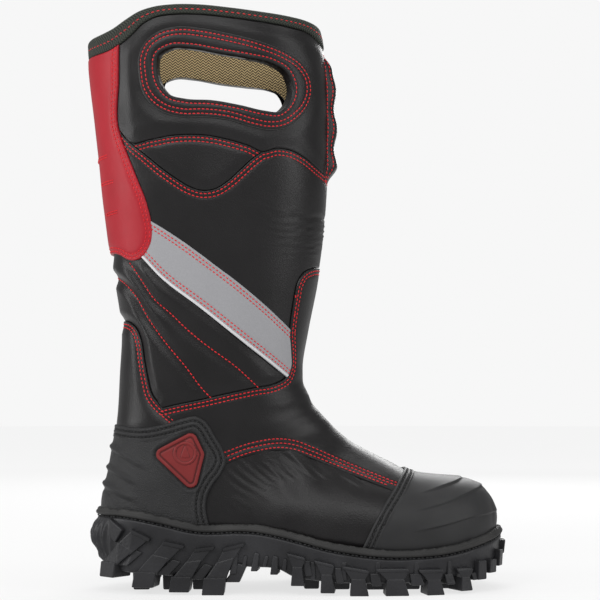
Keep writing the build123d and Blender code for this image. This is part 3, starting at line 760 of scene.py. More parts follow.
hole = field(hole_curve)
collar_poly = joined(collar_curve, [(60, 300), (60, 403)], binding_curve[::-1])
crescent_top = between(collar_curve, -134.7, -30)
crescent_poly = joined(wave_curve, crescent_top[::-1])
shaft_poly = joined(between(strip_low_curve, -180, -16), [(-10, 158)], [(-8.8, 164)],
                     vamp_curve[vamp_curve[:, 1] > 166][::-1], [(60, 250), (60, 292)],
                     collar_curve[collar_curve[:, 0] > -30][::-1], wave_curve[::-1],
                     collar_curve[collar_curve[:, 0] < -134.7][::-1])
ankle_poly = joined(between(strip_low_curve, -180, -16), [(-9.5, 158)],
                     vamp_curve[(vamp_curve[:, 1] < 158) & (vamp_curve[:, 0] > -104)],
                     [(-106, 130), (-106, 138)],
                     between(backstay_curve, -160, -106)[::-1], [(-190, 201)])
backstay_poly = joined(backstay_curve, [(-86, 112), (-190, 112), (-190, 201)])
vamp_poly = joined(vamp_curve, [(-104, 120), (-66, 90)], triple_curve + (0, -2.2), [(190, 60), (190, 243)])
quarter_poly = joined([(-70, 96)], triple_curve, [(190, 10), (-90, 10)])
back_strip_poly = joined(back_strip_curve, [(-200, 248.6), (-200, 440)])
strip_poly = joined(strip_top_curve, between(strip_low_curve, -121, -0.5)[::-1])
counter_poly = joined(counter_curve, [(-200, 30), (-200, 124)])
toe_poly = joined(toe_curve, [(200, 20), (200, 110), (90, 100)])
under_binding_poly = joined(binding_curve, [(60, 403), (60, -50), (-250, -50), (-250, 397)])
above_welt = field(joined(welt_curve - (0, 3.0), [(250, 500), (-250, 500)]))

V_COLLAR = (0, 150)


def off_back_strip(p):
    """Side-view distance outside the red strip at the back."""
    return -to_curve(back_strip_poly, p[:, 0], p[:, 2])[0]


def shaft_shape(patch):
    p = place_of(patch)
    front = ease(p[:, 0], -60, -5)
    band = np.exp(-((p[:, 2] - 263) / 18) ** 2)
    lines = np.sin(p[:, 2] * 1.35 + 3.5 * undulate(p, 50)) * np.clip(undulate(p * (0.5, 1, 1.6), 14), -0.2, 1)
    dip = -0.55 * np.exp(-((p[:, 2] - 275 - 0.12 * p[:, 0]) / 2.2) ** 2) * ease(p[:, 0], -20, 10)
    return 0.45 * front * band * lines + 0.12 * undulate(p, 80) + dip


def ankle_shape(patch):
    p = place_of(patch)
    d = [np.abs(field(smooth(q, 3), False)(patch.data["phi"], patch.data["v"]))
         for q in (QUILT_FRONT, QUILT_BACK)]
    near = np.minimum(d[0], d[1])
    rear = ease(-p[:, 0], 85, 125)
    puff = (1.0 + 1.9 * rear) * ease(near, 0.2, 8) * ease(patch.data["e"], 0.3, 8)
    puff = puff * ease(off_back_strip(p), -1, 12)
    return puff - 0.3


def collar_shape(patch):
    p = place_of(patch)
    puff = 1.2 * ease(patch.data["e"], 0.5, 12) * ease(off_back_strip(p), -1, 12)
    return puff * ease(-to_curve(patch_curve, p[:, 0], p[:, 2])[0], -2, 9) + 0.12 * undulate(p, 60)


def vamp_shape(patch):
    p = place_of(patch)
    bend = np.exp(-((p[:, 0] - 2) / 26) ** 2) * np.exp(-((p[:, 2] - 128) / 22) ** 2)
    slant = p[:, 2] * 0.32 - p[:, 0] * 0.05 + 0.6 * undulate(p, 50)
    folds = np.clip(np.sin(slant), -1, 0.6)
    tab = 0.9 * ease(p[:, 2], 150, 162) * ease(-p[:, 0], -22, 4)
    return 0.7 * bend * folds + 0.15 * undulate(p, 60) + tab


def quarter_shape(patch):
    p = place_of(patch)
    bend = np.exp(-((p[:, 0] + 8) / 30) ** 2) * ease(p[:, 2], 60, 95)
    slant = (p[:, 0] + 0.6 * p[:, 2]) * 0.26 + 0.8 * undulate(p, 40)
    fine = np.sin((p[:, 0] * 0.8 + p[:, 2]) * 0.9 + 2.0 * undulate(p, 45)) * ease(undulate(p, 26), 0, 1)
    return 0.7 * bend * np.sin(slant) + 0.3 * undulate(p, 55) + 0.3 * fine * ease(p[:, 2], 55, 85)


def beside_back_strip(phi, v):
    return 1.5 - field(back_strip_poly)(phi, v)


def beside_vamp(phi, v):
    return 1.2 - field(vamp_poly)(phi, v)


SIDES = (("lateral", (-math.pi, 0)), ("medial", (0, math.pi)))

build("under_shell", [field(under_binding_poly), above_welt], (20, LENGTH - 1), BLACK, -1.0,
      holes=[hole], skirt=0.5, step=2.2)
build("collar_leather", [field(collar_poly)], V_COLLAR, BLACK, 0.2, ["collar_panel"],
      holes=[hole], shape=collar_shape, skirt=2.6)
for label, span in SIDES:
    build("crescent_leather_" + label, [field(crescent_poly)], (95, 165), BLACK, -0.1,
          ["crescent_" + label], rows_=[(field(crescent_top, False), (2.2, 5.0))],
          shape=lambda patch: 0.5 * ease(patch.data["e"], 0.5, 9), phi=span, seam="crescent_" + label)
shaft_top = joined(wave_curve, between(collar_curve, -29.9, 60))
build("shaft_leather", [field(shaft_poly)], (95, 300), BLACK, 0.5, ["shaft_panel"],
      rows_=[(field(shaft_top, False), (2.2, 5.0))], shape=shaft_shape, seam="shaft")
build("ankle_leather", [field(ankle_poly)], (150, 345), BLACK, 0.0, ["ankle_panel"],
      shape=ankle_shape)
build("backstay_leather", [field(backstay_poly)], (190, 370), BLACK, 0.7, ["backstay"],
      rows_=[(field(backstay_curve, False), (2.2, 4.8))],
      shape=lambda patch: 1.6 * ease(patch.data["e"], 1, 12), seam="backstay")
build("vamp_leather", [field(vamp_poly)], (170, LENGTH - 3), BLACK, 0.8, ["vamp"],
      rows_=[(field(vamp_curve, False), (2.3, 5.0)), (field(triple_curve, False), (3.3, 6.5))],
      shape=vamp_shape, seam="vamp")
for label, span in SIDES:
    build("quarter_leather_" + label, [field(quarter_poly), above_welt], (250, LENGTH - 2), BLACK,
          0.0, ["quarter_" + label], shape=quarter_shape, phi=span)
    build("handle_ring_" + label, [field(patch_curve)], (10, 125), BLACK, 2.0,
          ["handle_patch_" + label], holes=[hole],
          rows_=[(field(patch_curve), (2.6, 5.8)), (field(hole_curve, True), (-3.0,))],
          shape=lambda patch: 0.25 * ease(patch.data["e"], 1, 7), phi=span, seam="handle_" + label,
          skirt=(2.6, 8.2), radius=1.8, drop=1.4,
          extra=(RAW_EDGE, lambda patch: patch.data["f0"] < 0.5, (("f0", 0.45),)))
    # the band up to 2 mm in from the tape's lower edge is painted sheen
    build("reflective_tape_" + label, [field(strip_poly), beside_back_strip, beside_vamp], (135, 310), TAPE,
          1.2, ["reflective_strip_" + label],
          rows_=[(field(strip_top_curve, False), (2.4, 4.8)), (field(strip_low_curve, False), (3.4, 5.8))],
          phi=span, seam="reflective_" + label, radius=0.7, drop=0.6, skirt=1.6, dent=0.25,
          extra=(TAPE_SHEEN, lambda patch: patch.data["r1"] < 2.05, (("r1", 2.0),)),
          shape=lambda patch: -0.5 * np.exp(-((place_of(patch)[:, 0] + 62) / 9) ** 2))
build("red_back_leather", [field(back_strip_poly), field(under_binding_poly)], (25, 200), RED,
      1.9, ["back_strip"], rows_=[(field(back_strip_curve, False), (2.1, 4.7))], seam="back_strip",
      shape=lambda patch: 0.3 * ease(patch.data["e"], 1, 8) + 0.25 * undulate(place_of(patch), 60))


def short_bars(seam, bars, height, doubled=True):
    """Short stitched bars with a cross stitch at the end, on both sides of the boot."""
    for (x0, z0), (x1, z1) in bars:
        for side_sign in (-1, 1):
            for shift in ((-0.9, 0.9) if doubled else (0,)):
                t = np.linspace(0, 1, 8)
                x, z = x0 + (x1 - x0) * t, z0 + (z1 - z0) * t + shift
                phi, v = locate(x, z, side_sign)
                sew(seam, np.stack([phi, v], -1), height, pitch=2.3, long=2.0, r=0.42)
            t = np.linspace(-1.6, 1.6, 8)
            phi, v = locate(x1 + 0 * t, z1 + t, side_sign)
            sew(seam, np.stack([phi, v], -1), height + 0.15, pitch=3.0, long=2.4, r=0.5)


short_bars("back_strip_bars", [((-143, 321), (-151, 320.4)), ((-138, 301.8), (-147, 301.3)),
                               ((-135, 279.4), (-143, 278.5))], 2.35)
short_bars("vamp_bars", [((3.1, 217), (-5.5, 216.7)), ((1.7, 204.4), (-6, 203.8)),
                         ((0.8, 191), (-6, 190.9))], 1.0, False)


def seam_along(seam, points, height):
    """One row along a side-view line, on both sides of the boot."""
    for side_sign in (-1, 1):
        dense = smooth(points, 2.0)
        phi, v = locate(dense[:, 0], dense[:, 1], side_sign)
        sew(seam, np.stack([phi, v], -1), height)


seam_along("quilt_front", QUILT_FRONT, -0.15)
seam_along("quilt_back", QUILT_BACK, -0.15)
seam_along("triple", TRIPLE_SEAM[1:11], 0.75)


def shin_shape(patch):
    p = place_of(patch)
    flat = ease(patch.data["f0"], 0.0, 7.5)
    level = 6.0 + 1.2 * np.cos((p[:, 2] - 346) / 29 * 2 * math.pi)
    ends = ease(p[:, 2], 303, 318) * ease(402.5 - p[:, 2], 0, 13)
    return (level * flat * ends) + 0.3 * undulate(p, 40) * flat


def shin_side(phi, v):
    p = surface(phi, v)
    return 17.5 - np.abs(p[:, 1])


def shin_ends(phi, v):
    p = surface(phi, v)
    return np.minimum(p[:, 2] - 303.5, 402.5 - p[:, 2])


build("shin_pad", [shin_side, shin_ends], (20, 150), BLACK, 0.9, ["shin_guard"],
      rows_=[(shin_side, (2.2, 5.0))], shape=shin_shape, phi=(-0.9, 0.9), seam="shin_pad", radius=1.2,
      drop=0.8)


# ------------------------------------------------------------------ rubber guards
def rib(patch, points, width, height, fade=6):
    """A raised ridge along a side-view line, fading towards its ends."""
    p = place_of(patch)
    curve = smooth(points, 2.5)
    d = np.abs(to_curve(curve, p[:, 0], p[:, 2], False)[0])
    ends = np.minimum(np.hypot(p[:, 0] - points[0][0], p[:, 2] - points[0][1]),
                      np.hypot(p[:, 0] - points[-1][0], p[:, 2] - points[-1][1]))
    return height * np.exp(-(d / width) ** 2) * ease(ends, 0, fade)


TOE_RIBS = [[(82.8, 70.1), (101.8, 73.9), (119.9, 78.6), (130, 82.4)],
            [(77.3, 58.4), (100.2, 62.9), (125.1, 70.5), (143, 76.2)],
            [(75.5, 44.3), (99.5, 48.7), (127.6, 54.8), (150.5, 57)]]
HEEL_RIBS = [[(-150, 112.5), (-139.1, 105.7), (-111.3, 89.2)], [(-152, 95.4), (-142.7, 90.8), (-117.1, 78.3)],
             [(-154, 83), (-145.6, 78.8), (-118.5, 67.4)]]


def scale_edge(p, points, height, reach, fade):
    """A lip along a side-view line: sharp on its lower side, dying away above it."""
    curve = smooth(points, 2.5)
    d, _, gz = to_curve(curve, p[:, 0], p[:, 2], False)
    s = np.where(gz > 0, d, -d)
    ends = np.minimum(p[:, 0] - points[0][0], points[-1][0] + 6 - p[:, 0])
    return height * ease(s, -0.7, 0.5) * np.exp(-np.clip(s, 0, None) / reach) * ease(ends, 0, fade)


def toe_rubber_shape(patch):
    p = place_of(patch)
    height = np.zeros(len(p))
    for points in TOE_RIBS:
        height = height + scale_edge(p, points, 1.5, 4.0, 22)
    return height + 0.7 * (1 - ease(patch.data["f0"], 7.6, 8.6))


def heel_rubber_shape(patch):
    p = place_of(patch)
    height = np.zeros(len(p))
    for points in HEEL_RIBS:
        height = np.maximum(height, rib(patch, points, 1.9, 2.0, 10))
        height = height + rib(patch, [(x, z - 4.2) for x, z in points], 1.6, -0.9, 10)
    e = patch.data["f0"]
    rim = 0.8 * (1 - ease(e, 8.8, 9.8))
    badge = to_curve(badge_curve, p[:, 0], p[:, 2])[0]
    seat = -1.1 * ease(badge + 1.6, 0, 0.9) + 0.6 * np.exp(-((badge + 3.0) / 1.2) ** 2)
    return height * ease(-badge, 2, 6) * ease(e, 9, 13) + rim + seat


# mask of the painted groove shade: points within 0.55 mm of either stitch row
def row_shade_mask(one, two):
    return lambda patch: np.minimum(np.abs(patch.data["r0"] - one), np.abs(patch.data["r0"] - two)) < 0.55


def row_cuts(one, two):
    return (("r0", one - 0.5), ("r0", one + 0.5), ("r0", two - 0.5), ("r0", two + 0.5))


def rounded(corners, radius, count=8):
    """A closed outline with rounded corners."""
    out = []
    for k, corner in enumerate(corners):
        c = np.array(corner, float)
        a, b = np.array(corners[k - 1], float) - c, np.array(corners[(k + 1) % len(corners)], float) - c
        a, b = a / np.linalg.norm(a), b / np.linalg.norm(b)
        half = math.acos(np.clip(a @ b, -1, 1)) / 2
        middle = c + (a + b) / np.linalg.norm(a + b) * radius / math.sin(half)
        start, end = c + a * radius / math.tan(half) - middle, c + b * radius / math.tan(half) - middle
        for t in np.linspace(0, 1, count):
            w = start * (1 - t) + end * t
            out.append(middle + w / np.linalg.norm(w) * radius)
    out = np.array(out)
    following = np.roll(out, -1, axis=0)
    return np.array([a + (b - a) * t for a, b in zip(out, following) for t in (0, 0.25, 0.5, 0.75)])


badge_curve = rounded(BADGE, 5.0)
BADGE_MIDDLE = np.array([-85.5, 101.5])


def badge_shape(patch):
    p = place_of(patch)
    e = patch.data["e"]
    line = groove(e - 3.0, 0.8, 0.7)
    dx, dz = p[:, 0] - BADGE_MIDDLE[0], p[:, 2] - BADGE_MIDDLE[1]
    return line + 0.6 * ease(-badge_mark(dx, dz), -0.35, 0.35)


def badge_mark(dx, dz):
    """A plain ring with a drop in it. Negative inside the raised parts."""
    r = np.hypot(dx, dz)
    drop_width = np.clip(2.6 - 0.42 * dz, 0, 3.4) * (dz > -3.4)
    drop = np.maximum(np.abs(dx) - drop_width * 0.8, np.maximum(dz - 5.2, -dz - 3.2))
    return np.minimum(np.abs(r - 7.4) - 0.75, drop)


badge_phi, badge_v = locate(badge_curve[:, 0], badge_curve[:, 1], 1)
badge_span = (badge_phi.min() - 0.03, badge_phi.max() + 0.03)


# mask of the painted shade: the rim groove and a 0.9 mm band round the foot of the raised ring and drop
def badge_shade_mask(patch):
    p = place_of(patch)
    mark = badge_mark(p[:, 0] - BADGE_MIDDLE[0], p[:, 2] - BADGE_MIDDLE[1])
    return (np.abs(patch.data["e"] - 3.0) < 0.62) | (np.abs(mark - 0.45) < 0.45)


for label, sign in (("lateral", -1), ("medial", 1)):
    span = tuple(sorted((badge_span[0] * sign, badge_span[1] * sign)))
    build("badge_" + label + "_moulding", [field(badge_curve)], (badge_v.min() - 2, badge_v.max() + 2),
          BADGE_RED, 3.5, ["badge_" + label], shape=badge_shape, phi=span, radius=1.0,
          drop=0.7, skirt=1.4, step=0.4,
          extra=(BADGE_SHADE, badge_shade_mask, (("e", 2.4), ("e", 3.6))))
FINE = 0.85
HEEL_ROWS, TOE_ROWS = (3.4, 7.2), (2.8, 6.2)
# both guards carry painted shade, a near-black colour, along their sunken stitch rows
build("heel_rubber", [field(counter_poly), above_welt], (225, 450), PEBBLE, 2.9,
      ["heel_counter"], rows_=[(field(counter_curve, False), HEEL_ROWS)], shape=heel_rubber_shape, radius=2.0,
      drop=2.0, skirt=0.6, dent=0.9, seam="guard_heel", step=FINE,
      extra=(GROOVE_SHADE, row_shade_mask(*HEEL_ROWS), row_cuts(*HEEL_ROWS)))
build("toe_rubber", [field(toe_poly), above_welt], (330, LENGTH), GUARD, 2.3, ["toe_guard"],
      rows_=[(field(toe_curve, False), TOE_ROWS)], shape=toe_rubber_shape, radius=1.6, drop=1.4, skirt=0.6,
      dent=0.9, seam="guard_toe", step=FINE, extra=(GROOVE_SHADE, row_shade_mask(*TOE_ROWS), row_cuts(*TOE_ROWS)))


# ------------------------------------------------------------------ collar binding
def height_on(curve, phi, low, high):
    """v where the form crosses a side-view height line z(x), at each phi."""
    a, b = np.full_like(phi, low), np.full_like(phi, high)
    for _ in range(30):
        mid = (a + b) / 2
        p = surface(phi, mid)
        above = p[:, 2] > np.interp(p[:, 0], curve[:, 0], curve[:, 1])
        a, b = np.where(above, mid, a), np.where(above, b, mid)
    return (a + b) / 2


ring_phi = np.linspace(-math.pi, math.pi, 560, endpoint=False)
v_low, v_top = height_on(binding_curve, ring_phi, 0, 110), height_on(top_curve, ring_phi, 0, 110)
sections = []
OUT, IN = 1.6, -6.0
for t, h in [(0, -0.4), (0.015, 0.9), (0.06, 1.45), (0.15, 1.6), (0.3, 1.65), (0.45, 1.65), (0.6, 1.6)]:
    sections.append((t, h))
for k in range(11):
    angle = math.pi * k / 10
    sections.append((0.75 + 0.25 * math.sin(angle), (OUT + IN) / 2 + (OUT - IN) / 2 * math.cos(angle)))
sections += [(0.6, IN), (0.4, IN), (0.2, IN), (0.05, IN + 0.1), (0.0, IN + 0.8)]
grid = []
ring_n = normals(ring_phi, (v_low + v_top) / 2)
for t, h in sections:
    base = surface(ring_phi, v_low + (v_top - v_low) * t)
    grid.append(base + ring_n * (h + 0.12 * undulate(base, 30))[:, None])
grid = np.array(grid)
count, around = grid.shape[:2]
index = np.arange(count * around).reshape(count, around)
nxt = np.roll(index, -1, axis=1)
quads = np.stack([index[:-1], nxt[:-1], nxt[1:], index[1:]], -1).reshape(-1, 4)
binding = mesh_object("binding_band", grid.reshape(-1, 3), quads, BINDING)
run = np.concatenate([[0], np.cumsum(np.linalg.norm(np.diff(grid[4], axis=0), axis=1))])
rise = np.concatenate([[0], np.cumsum(np.linalg.norm(np.diff(grid[:, 0], axis=0), axis=1))])
uv = binding.data.uv_layers.new(name="tape")
corners = np.zeros((len(quads), 4, 2))
for j, (di, dj) in enumerate(((0, 0), (0, 1), (1, 1), (1, 0))):
    i, k = np.divmod(np.arange(len(quads)), around)
    across_u = np.append(run, run[-1] + 1.0)[k + dj]
    corners[:, j, 0] = across_u * MM
    corners[:, j, 1] = rise[i + di] * MM
uv.data.foreach_set("uv", corners.ravel())
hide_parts("collar_binding")
line = np.stack([ring_phi, v_low + (v_top - v_low) * 0.42], -1)
sew("binding", np.concatenate([line, line[:1]])[20:-20], 1.7, pitch=4.2, long=2.4, r=0.34)

# ------------------------------------------------------------------ sole
SOLE_OUTER = [(-151, 0), (-145, -19), (-131, -33), (-108, -41), (-80, -44.5), (-45, -46.5), (0, -52.5),
              (45, -56.8), (75, -56), (105, -50), (128, -38), (145, -19), (152, 4)]
SOLE_INNER = [(-151, 0), (-145, 19), (-131, 33), (-108, 40.5), (-80, 42.5), (-45, 43.5), (0, 47),
              (45, 51.5), (75, 53.8), (105, 52), (128, 43.5), (144, 28), (152, 4)]
plan = ring(SOLE_OUTER + SOLE_INNER[-2:0:-1], 0.9)
plan_run = np.roll(plan, -1, axis=0) - np.roll(plan, 1, axis=0)
plan_run /= np.linalg.norm(plan_run, axis=1)[:, None]
plan_out = np.stack([plan_run[:, 1], -plan_run[:, 0]], -1)
web = np.interp(plan[:, 0], *smooth(WEB_LINE, 3).T)
welt = np.interp(plan[:, 0], *smooth(WELT_LINE, 3).T)
plan3 = np.concatenate([plan, plan[:, :1] * 0], axis=1)


def swept(name, profile, material, cap=False):
    """A band round the sole. profile gives (outwards, z) per point."""
    levels = [np.stack([plan[:, 0] + plan_out[:, 0] * out, plan[:, 1] + plan_out[:, 1] * out, z], -1)
              for out, z in profile]
    if cap:
        last = levels[-1]
        for k in (0.7, 0.35, 0.02):
            levels.append(np.stack([last[:, 0], 1 + (last[:, 1] - 1) * k, last[:, 2]], -1))
    grid_ = np.array(levels)
    m, n = grid_.shape[:2]
    idx = np.arange(m * n).reshape(m, n)
    nx = np.roll(idx, -1, axis=1)
    faces = np.stack([idx[:-1], idx[1:], nx[1:], nx[:-1]], -1).reshape(-1, 4)
    return mesh_object(name, grid_.reshape(-1, 3), faces, material)


ragged = 0.35 * undulate(plan3, 7) + 0.3 * undulate(plan3 + 50, 3.1)
welt_profile = [(-7, welt + 0.2), (-0.4, welt + 0.3 + ragged), (0.5, welt - 0.3 + ragged), (0.7, welt - 1.2),
                (0.9, welt - 1.7), (1.6, welt - 2.3), (1.9, welt - 3.2), (1.6, welt - 4.2), (0.6, welt - 4.9),
                (-2.5, welt - 5.0)]
welt_band = swept("welt_bead", welt_profile, WELT)
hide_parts("welt_strip")
rear = ease(-plan[:, 0], 134, 147)
run_length = np.concatenate([[0], np.cumsum(np.linalg.norm(np.diff(plan, axis=0), axis=1))])
wall_profile = [(-2.6, welt - 4.6), (-1.6, welt - 5.9), (0.2, welt - 6.6), (0.6, welt - 8.0)]
for t in np.linspace(0.06, 0.94, 15):
    fin = 1 - 2 * np.abs(np.sin(run_length * math.pi / 6.2 + 1.6 * t))
    bulge = 5.2 * math.sin(math.pi * min(t * 1.15 + 0.08, 1))
    swell = rear * (bulge + 1.5 * fin * math.sin(math.pi * t) ** 0.5)
    wall_profile.append((0.3 - 1.2 * t + swell, (welt - 9.0) * (1 - t) + (web + 2) * t))
wall_profile += [(-1.8 - 1.5 * rear, web + 0.8), (-4 - 3 * rear, web)]
sole_wall = swept("sole_wall", wall_profile, TREAD, cap=True)

groove_line = np.stack([*(plan + 0.3 * plan_out).T, welt - 5.7], -1)
sew_round("guard_welt", groove_line, np.concatenate([plan_out, plan[:, :1] * 0], axis=1), 3.2, 2.4, 0.5)

# side lugs: x of the foot on the wall, foot width, foot height, top height, lean, and slope of a heel cap
HEEL_LUGS = [(-141, 14.5, 11, 43, 28, 6), (-115, 15.7, 5, 36.5, 22, 3), (-89.7, 14.5, 2, 33.5, 18, -1.6),
             (-65.5, 16, 0, 35, 15, -3.6)]
ARCH_LUGS = [(-50.5, 5, 15, 30, 2), (-35.5, 5, 17, 30, 2), (-21.3, 5.5, 14.7, 28, 1)]
FOREFOOT_LUGS = [(-4.5, 9.6, 7, 29, -0.5), (17, 10.4, 2, 24, -2), (40, 13.5, 0, 20, -2),
                 (66.7, 17, 0, 19.5, -3), (94.8, 13, 0, 18.5, -3), (117, 10, 2, 18.5, -1),
                 (130, 9, 9, 23, -1), (139.5, 9, 13, 23, -1), (146.5, 8, 17, 29, -1),
                 (151.6, 9, 25, 35, -1)]
# blocks under the middle of the sole: x, length along x, width across
TREAD_BLOCKS = [(-118, 13, 26), (-96, 13, 28), (-74, 13, 28), (8, 12, 30), (30, 13, 40), (55, 14, 46),
                (82, 13, 44), (107, 11, 34)]


def block_mesh(name, blocks, material, bevel):
    """Convex blocks, each eight points (bottom four, then top four), with bevelled edges."""
    whole = bmesh.new()
    for block in blocks:
        corners_ = [whole.verts.new(Vector(p) * MM) for p in block]
        bmesh.ops.convex_hull(whole, input=corners_)
    bmesh.ops.recalc_face_normals(whole, faces=whole.faces)
    bmesh.ops.dissolve_limit(whole, angle_limit=0.02, verts=whole.verts, edges=whole.edges)
    bmesh.ops.bevel(whole, geom=list(whole.edges), offset=bevel * MM, segments=2, profile=0.6, affect="EDGES",
                    clamp_overlap=True)
    mesh = bpy.data.meshes.new(name)
    whole.to_mesh(mesh)
    whole.free()
    mesh.polygons.foreach_set("use_smooth", np.full(len(mesh.polygons), False))
    obj = bpy.data.objects.new(name, mesh)
    bpy.context.scene.collection.objects.link(obj)
    mesh.materials.append(material)
    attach(obj, "root")
    return obj


run_closed = np.append(run_length, run_length[-1] + np.linalg.norm(plan[0] - plan[-1]))
plan_closed = np.concatenate([plan, plan[:1]])
out_closed = np.concatenate([plan_out, plan_out[:1]])


def slab_on_wall(side, foot_x, low, high, reach_low, reach_high, depth=15):
    """A leaning block that follows the wall. low and high are (shift, width, z, tilt)."""
    off_side = plan[:, 1] * side < 1 * side
    foot = (np.abs(plan[:, 0] - foot_x) + 1000 * off_side).argmin()
    forward = np.sign(plan_run[foot, 0])
    corners_ = []
    for (shift, width, z, tilt), reach in ((low, reach_low), (high, reach_high)):
        for edge, r in ((-1, reach), (1, reach), (1, -depth), (-1, -depth)):
            run = (run_length[foot] + forward * (shift + edge * width / 2)) % run_closed[-1]
            place = [np.interp(run, run_closed, plan_closed[:, k])
                     + r * np.interp(run, run_closed, out_closed[:, k]) for k in (0, 1)]
            corners_.append((place[0], place[1], z - tilt * edge / 2))
    return corners_


def heel_lug(side, x, width, low, high, lean, tilt):
    """A foot, a leaning arm in two parts, a cap, and a thin rib behind the foot."""
    def at(part):
        return low + (high - low) * part
    waist = at(0.33)
    return [slab_on_wall(side, x, (0, width, low, 0), (lean * 0.1, width, waist + 1, 0), 4.2, 4.8),
            slab_on_wall(side, x, (lean * 0.1, width * 0.98, waist - 1, 0),
                         (lean * 0.6, width * 0.8, at(0.72), tilt), 4.0, 2.8, 3),
            slab_on_wall(side, x, (lean * 0.5, width * 0.8, at(0.62), tilt),
                         (lean, width * 0.9, high, tilt), 2.6, 2.4, 3),
            slab_on_wall(side, x, (lean - 0.6, width * 0.94, high - 2.2, tilt),
                         (lean + 0.4, width, high + 0.5, tilt * 1.1), 3.2, 4.4, 3),
            slab_on_wall(side, x, (width * 0.85, width * 0.7, low + 9, 0),
                         (width * 0.85 + lean * 0.5, width * 0.4, at(0.62), 2), 1.4, 1.0, 6)]


def arch_lug(side, x, width, low, high, lean):
    """A plain tapered rib and a thinner one beside it."""
    return [slab_on_wall(side, x, (0, width, low, 0), (lean, width * 0.7, high, 1), 2.4, 1.0),
            slab_on_wall(side, x + 7, (0, width * 0.6, low + 3, 0), (lean, width * 0.5, high - 2, 1),
                         1.2, 0.5)]


def forefoot_lug(side, x, width, low, high, lean):
    """A foot, a neck that widens upwards, a cap, and a thin rib in front."""
    waist = low + (high - low) * 0.62
    tilt = 3.2 if x < 60 else 0
    return [slab_on_wall(side, x, (0, width, low, 0), (lean * 0.4, width * 0.72, waist, 0), 4.0, 3.0),
            slab_on_wall(side, x, (lean * 0.4, width * 0.7, waist - 1, 0),
                         (lean, width * 1.3, high - 2, tilt), 2.8, 3.8, 4),
            slab_on_wall(side, x, (lean, width * 1.32, high - 2.6, tilt),
                         (lean - 1, width * 1.36, high, tilt), 4.2, 3.9, 4),
            slab_on_wall(side, x + width * 0.9, (0, width * 0.55, low + 7, 0),
                         (-2, width * 0.5, high - 4, 0), 1.9, 1.4, 9)]


blocks = []
for side in (-1, 1):
    for lug in HEEL_LUGS:
        blocks += heel_lug(side, *lug)
    blocks.append(slab_on_wall(side, -137, (0, 4, 38, 3), (3.5, 12, 50, 8), 2.6, 4.4, 3))
    for lug in ARCH_LUGS:
        blocks += arch_lug(side, *lug)
    for lug in FOREFOOT_LUGS[:6]:
        blocks += forefoot_lug(side, *lug)
    for x, width, low, high, lean in FOREFOOT_LUGS[6:]:
        blocks.append(slab_on_wall(side, x, (0, width, low, 0), (lean, width * 0.86, high, 0), 3.0, 4.2))
    for x in (6.5, 29, 53, 81, 106):
        blocks.append(slab_on_wall(side, x, (0, 4, 11, 0), (0, 3.2, 24, 0), 1.2, 0.6, 5))
lugs = block_mesh("side_lugs", blocks, TREAD, 0.8)
treads = []
for x, length, width in TREAD_BLOCKS:
    treads.append([(x + a * length / 2 * k, b * width / 2 * k, z) for z, k in ((0.0, 0.92), (20, 1.05))
                   for a, b in ((-1, -1), (1, -1), (1, 1), (-1, 1))])
tread = block_mesh("tread_blocks", treads, TREAD, 1.2)
for obj in (sole_wall, lugs, tread):
    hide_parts("outsole")
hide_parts("midsole")
bake_stitches()

# ------------------------------------------------------------------ inner CAD parts
INNER = {"aramid_lining": LINING, "collar_foam": FOAM, "thermal_lining": FELT, "moisture_barrier": FILM,
         "insole_board": BOARD, "puncture_plate": STEEL, "shank": STEEL, "safety_toe": STEEL,
         "heel_stiffener": BOARD, "footbed": FOOTBED}
for name, material in INNER.items():
    node = bpy.data.objects[name]
    node.data.materials.clear()
    node.data.materials.append(material)

# ------------------------------------------------------------------ floor, light and camera
# the floor glows a little more with distance, so that it stays as pale as the backdrop
floor_material, floor_tree, floor_shader = nodes_of("pale_floor", (0.14, 0.14, 0.14), 0.95, 0.0)
floor_shader.inputs["Emission Color"].default_value = (1, 1, 1, 1)
reach = floor_tree.nodes.new("ShaderNodeVectorMath")
reach.operation = "LENGTH"
fade = floor_tree.nodes.new("ShaderNodeMapRange")
fade.inputs["From Min"].default_value = 0.15
fade.inputs["From Max"].default_value = 2.2
fade.inputs["To Min"].default_value = 0.725
fade.inputs["To Max"].default_value = 0.845
floor_place = floor_tree.nodes.new("ShaderNodeTexCoord")
floor_tree.links.new(floor_place.outputs["Object"], reach.inputs[0])
floor_tree.links.new(reach.outputs["Value"], fade.inputs["Value"])
floor_tree.links.new(fade.outputs["Result"], floor_shader.inputs["Emission Strength"])
floor_mesh = bpy.data.meshes.new("floor")
floor_mesh.from_pydata([(-8, -8, 0), (8, -8, 0), (8, 8, 0), (-8, 8, 0)], [], [(0, 1, 2, 3)])
floor = bpy.data.objects.new("floor", floor_mesh)
floor_mesh.materials.append(floor_material)
bpy.context.scene.collection.objects.link(floor)

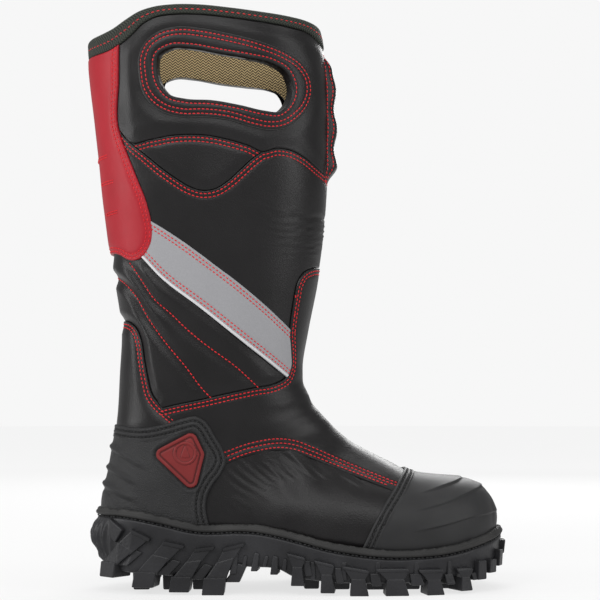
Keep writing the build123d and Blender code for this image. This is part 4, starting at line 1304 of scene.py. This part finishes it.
backdrop_mesh = bpy.data.meshes.new("backdrop")
drum = bmesh.new()
bmesh.ops.create_uvsphere(drum, u_segments=48, v_segments=24, radius=7.5)
drum.to_mesh(backdrop_mesh)
drum.free()
backdrop = bpy.data.objects.new("backdrop", backdrop_mesh)
bpy.context.scene.collection.objects.link(backdrop)
backdrop_material, _, backdrop_shader = nodes_of("pale_backdrop", (0, 0, 0), 1.0, 0.0)
backdrop_shader.inputs["Emission Color"].default_value = (1, 1, 1, 1)
backdrop_shader.inputs["Emission Strength"].default_value = 0.93
backdrop_mesh.materials.append(backdrop_material)
backdrop.visible_diffuse = False
backdrop.visible_glossy = False
backdrop.visible_transmission = False
backdrop.visible_shadow = False

world = bpy.data.worlds.new("studio")
bpy.context.scene.world = world
world.use_nodes = True
world.node_tree.nodes["Background"].inputs["Color"].default_value = (1, 1, 1, 1)
world.node_tree.nodes["Background"].inputs["Strength"].default_value = 0.42


def area_light(name, place, aim, size, power):
    light = bpy.data.lights.new(name, "AREA")
    light.shape = "RECTANGLE"
    light.size, light.size_y = size
    light.energy = power
    obj = bpy.data.objects.new(name, light)
    bpy.context.scene.collection.objects.link(obj)
    obj.location = place
    obj.rotation_euler = (Vector(aim) - Vector(place)).to_track_quat("-Z", "Y").to_euler()


area_light("key", (-0.9, -1.2, 1.2), (0, 0, 0.2), (0.8, 0.8), 15)
area_light("fill", (1.3, -0.8, 0.7), (0, 0, 0.2), (0.5, 1.2), 9)
area_light("top", (0.0, 0.2, 1.5), (0, 0, 0.2), (1.0, 1.0), 12)
area_light("front", (0.15, -1.5, 1.0), (0, 0, 0.15), (1.0, 0.5), 9)
area_light("rim", (-1.4, -0.3, 0.45), (0, 0, 0.2), (0.4, 0.9), 9)
area_light("far_side", (0.3, 1.4, 0.9), (0, 0, 0.2), (1.0, 0.7), 14)

# the camera stands 1.2 m in front of the outer side, 140 mm above the floor, on a long lens
camera_data = bpy.data.cameras.new("camera")
camera = bpy.data.objects.new("camera", camera_data)
bpy.context.scene.collection.objects.link(camera)
camera_data.sensor_width = 36
camera_data.lens = 95.05
camera.location = (-0.060, -1.200, 0.140)
aim = Vector((0, 0, 0.216)) - camera.location
camera.rotation_euler = aim.to_track_quat("-Z", "Y").to_euler()
bpy.context.scene.camera = camera
bpy.context.scene.view_settings.view_transform = "Standard"

bpy.context.view_layer.update()
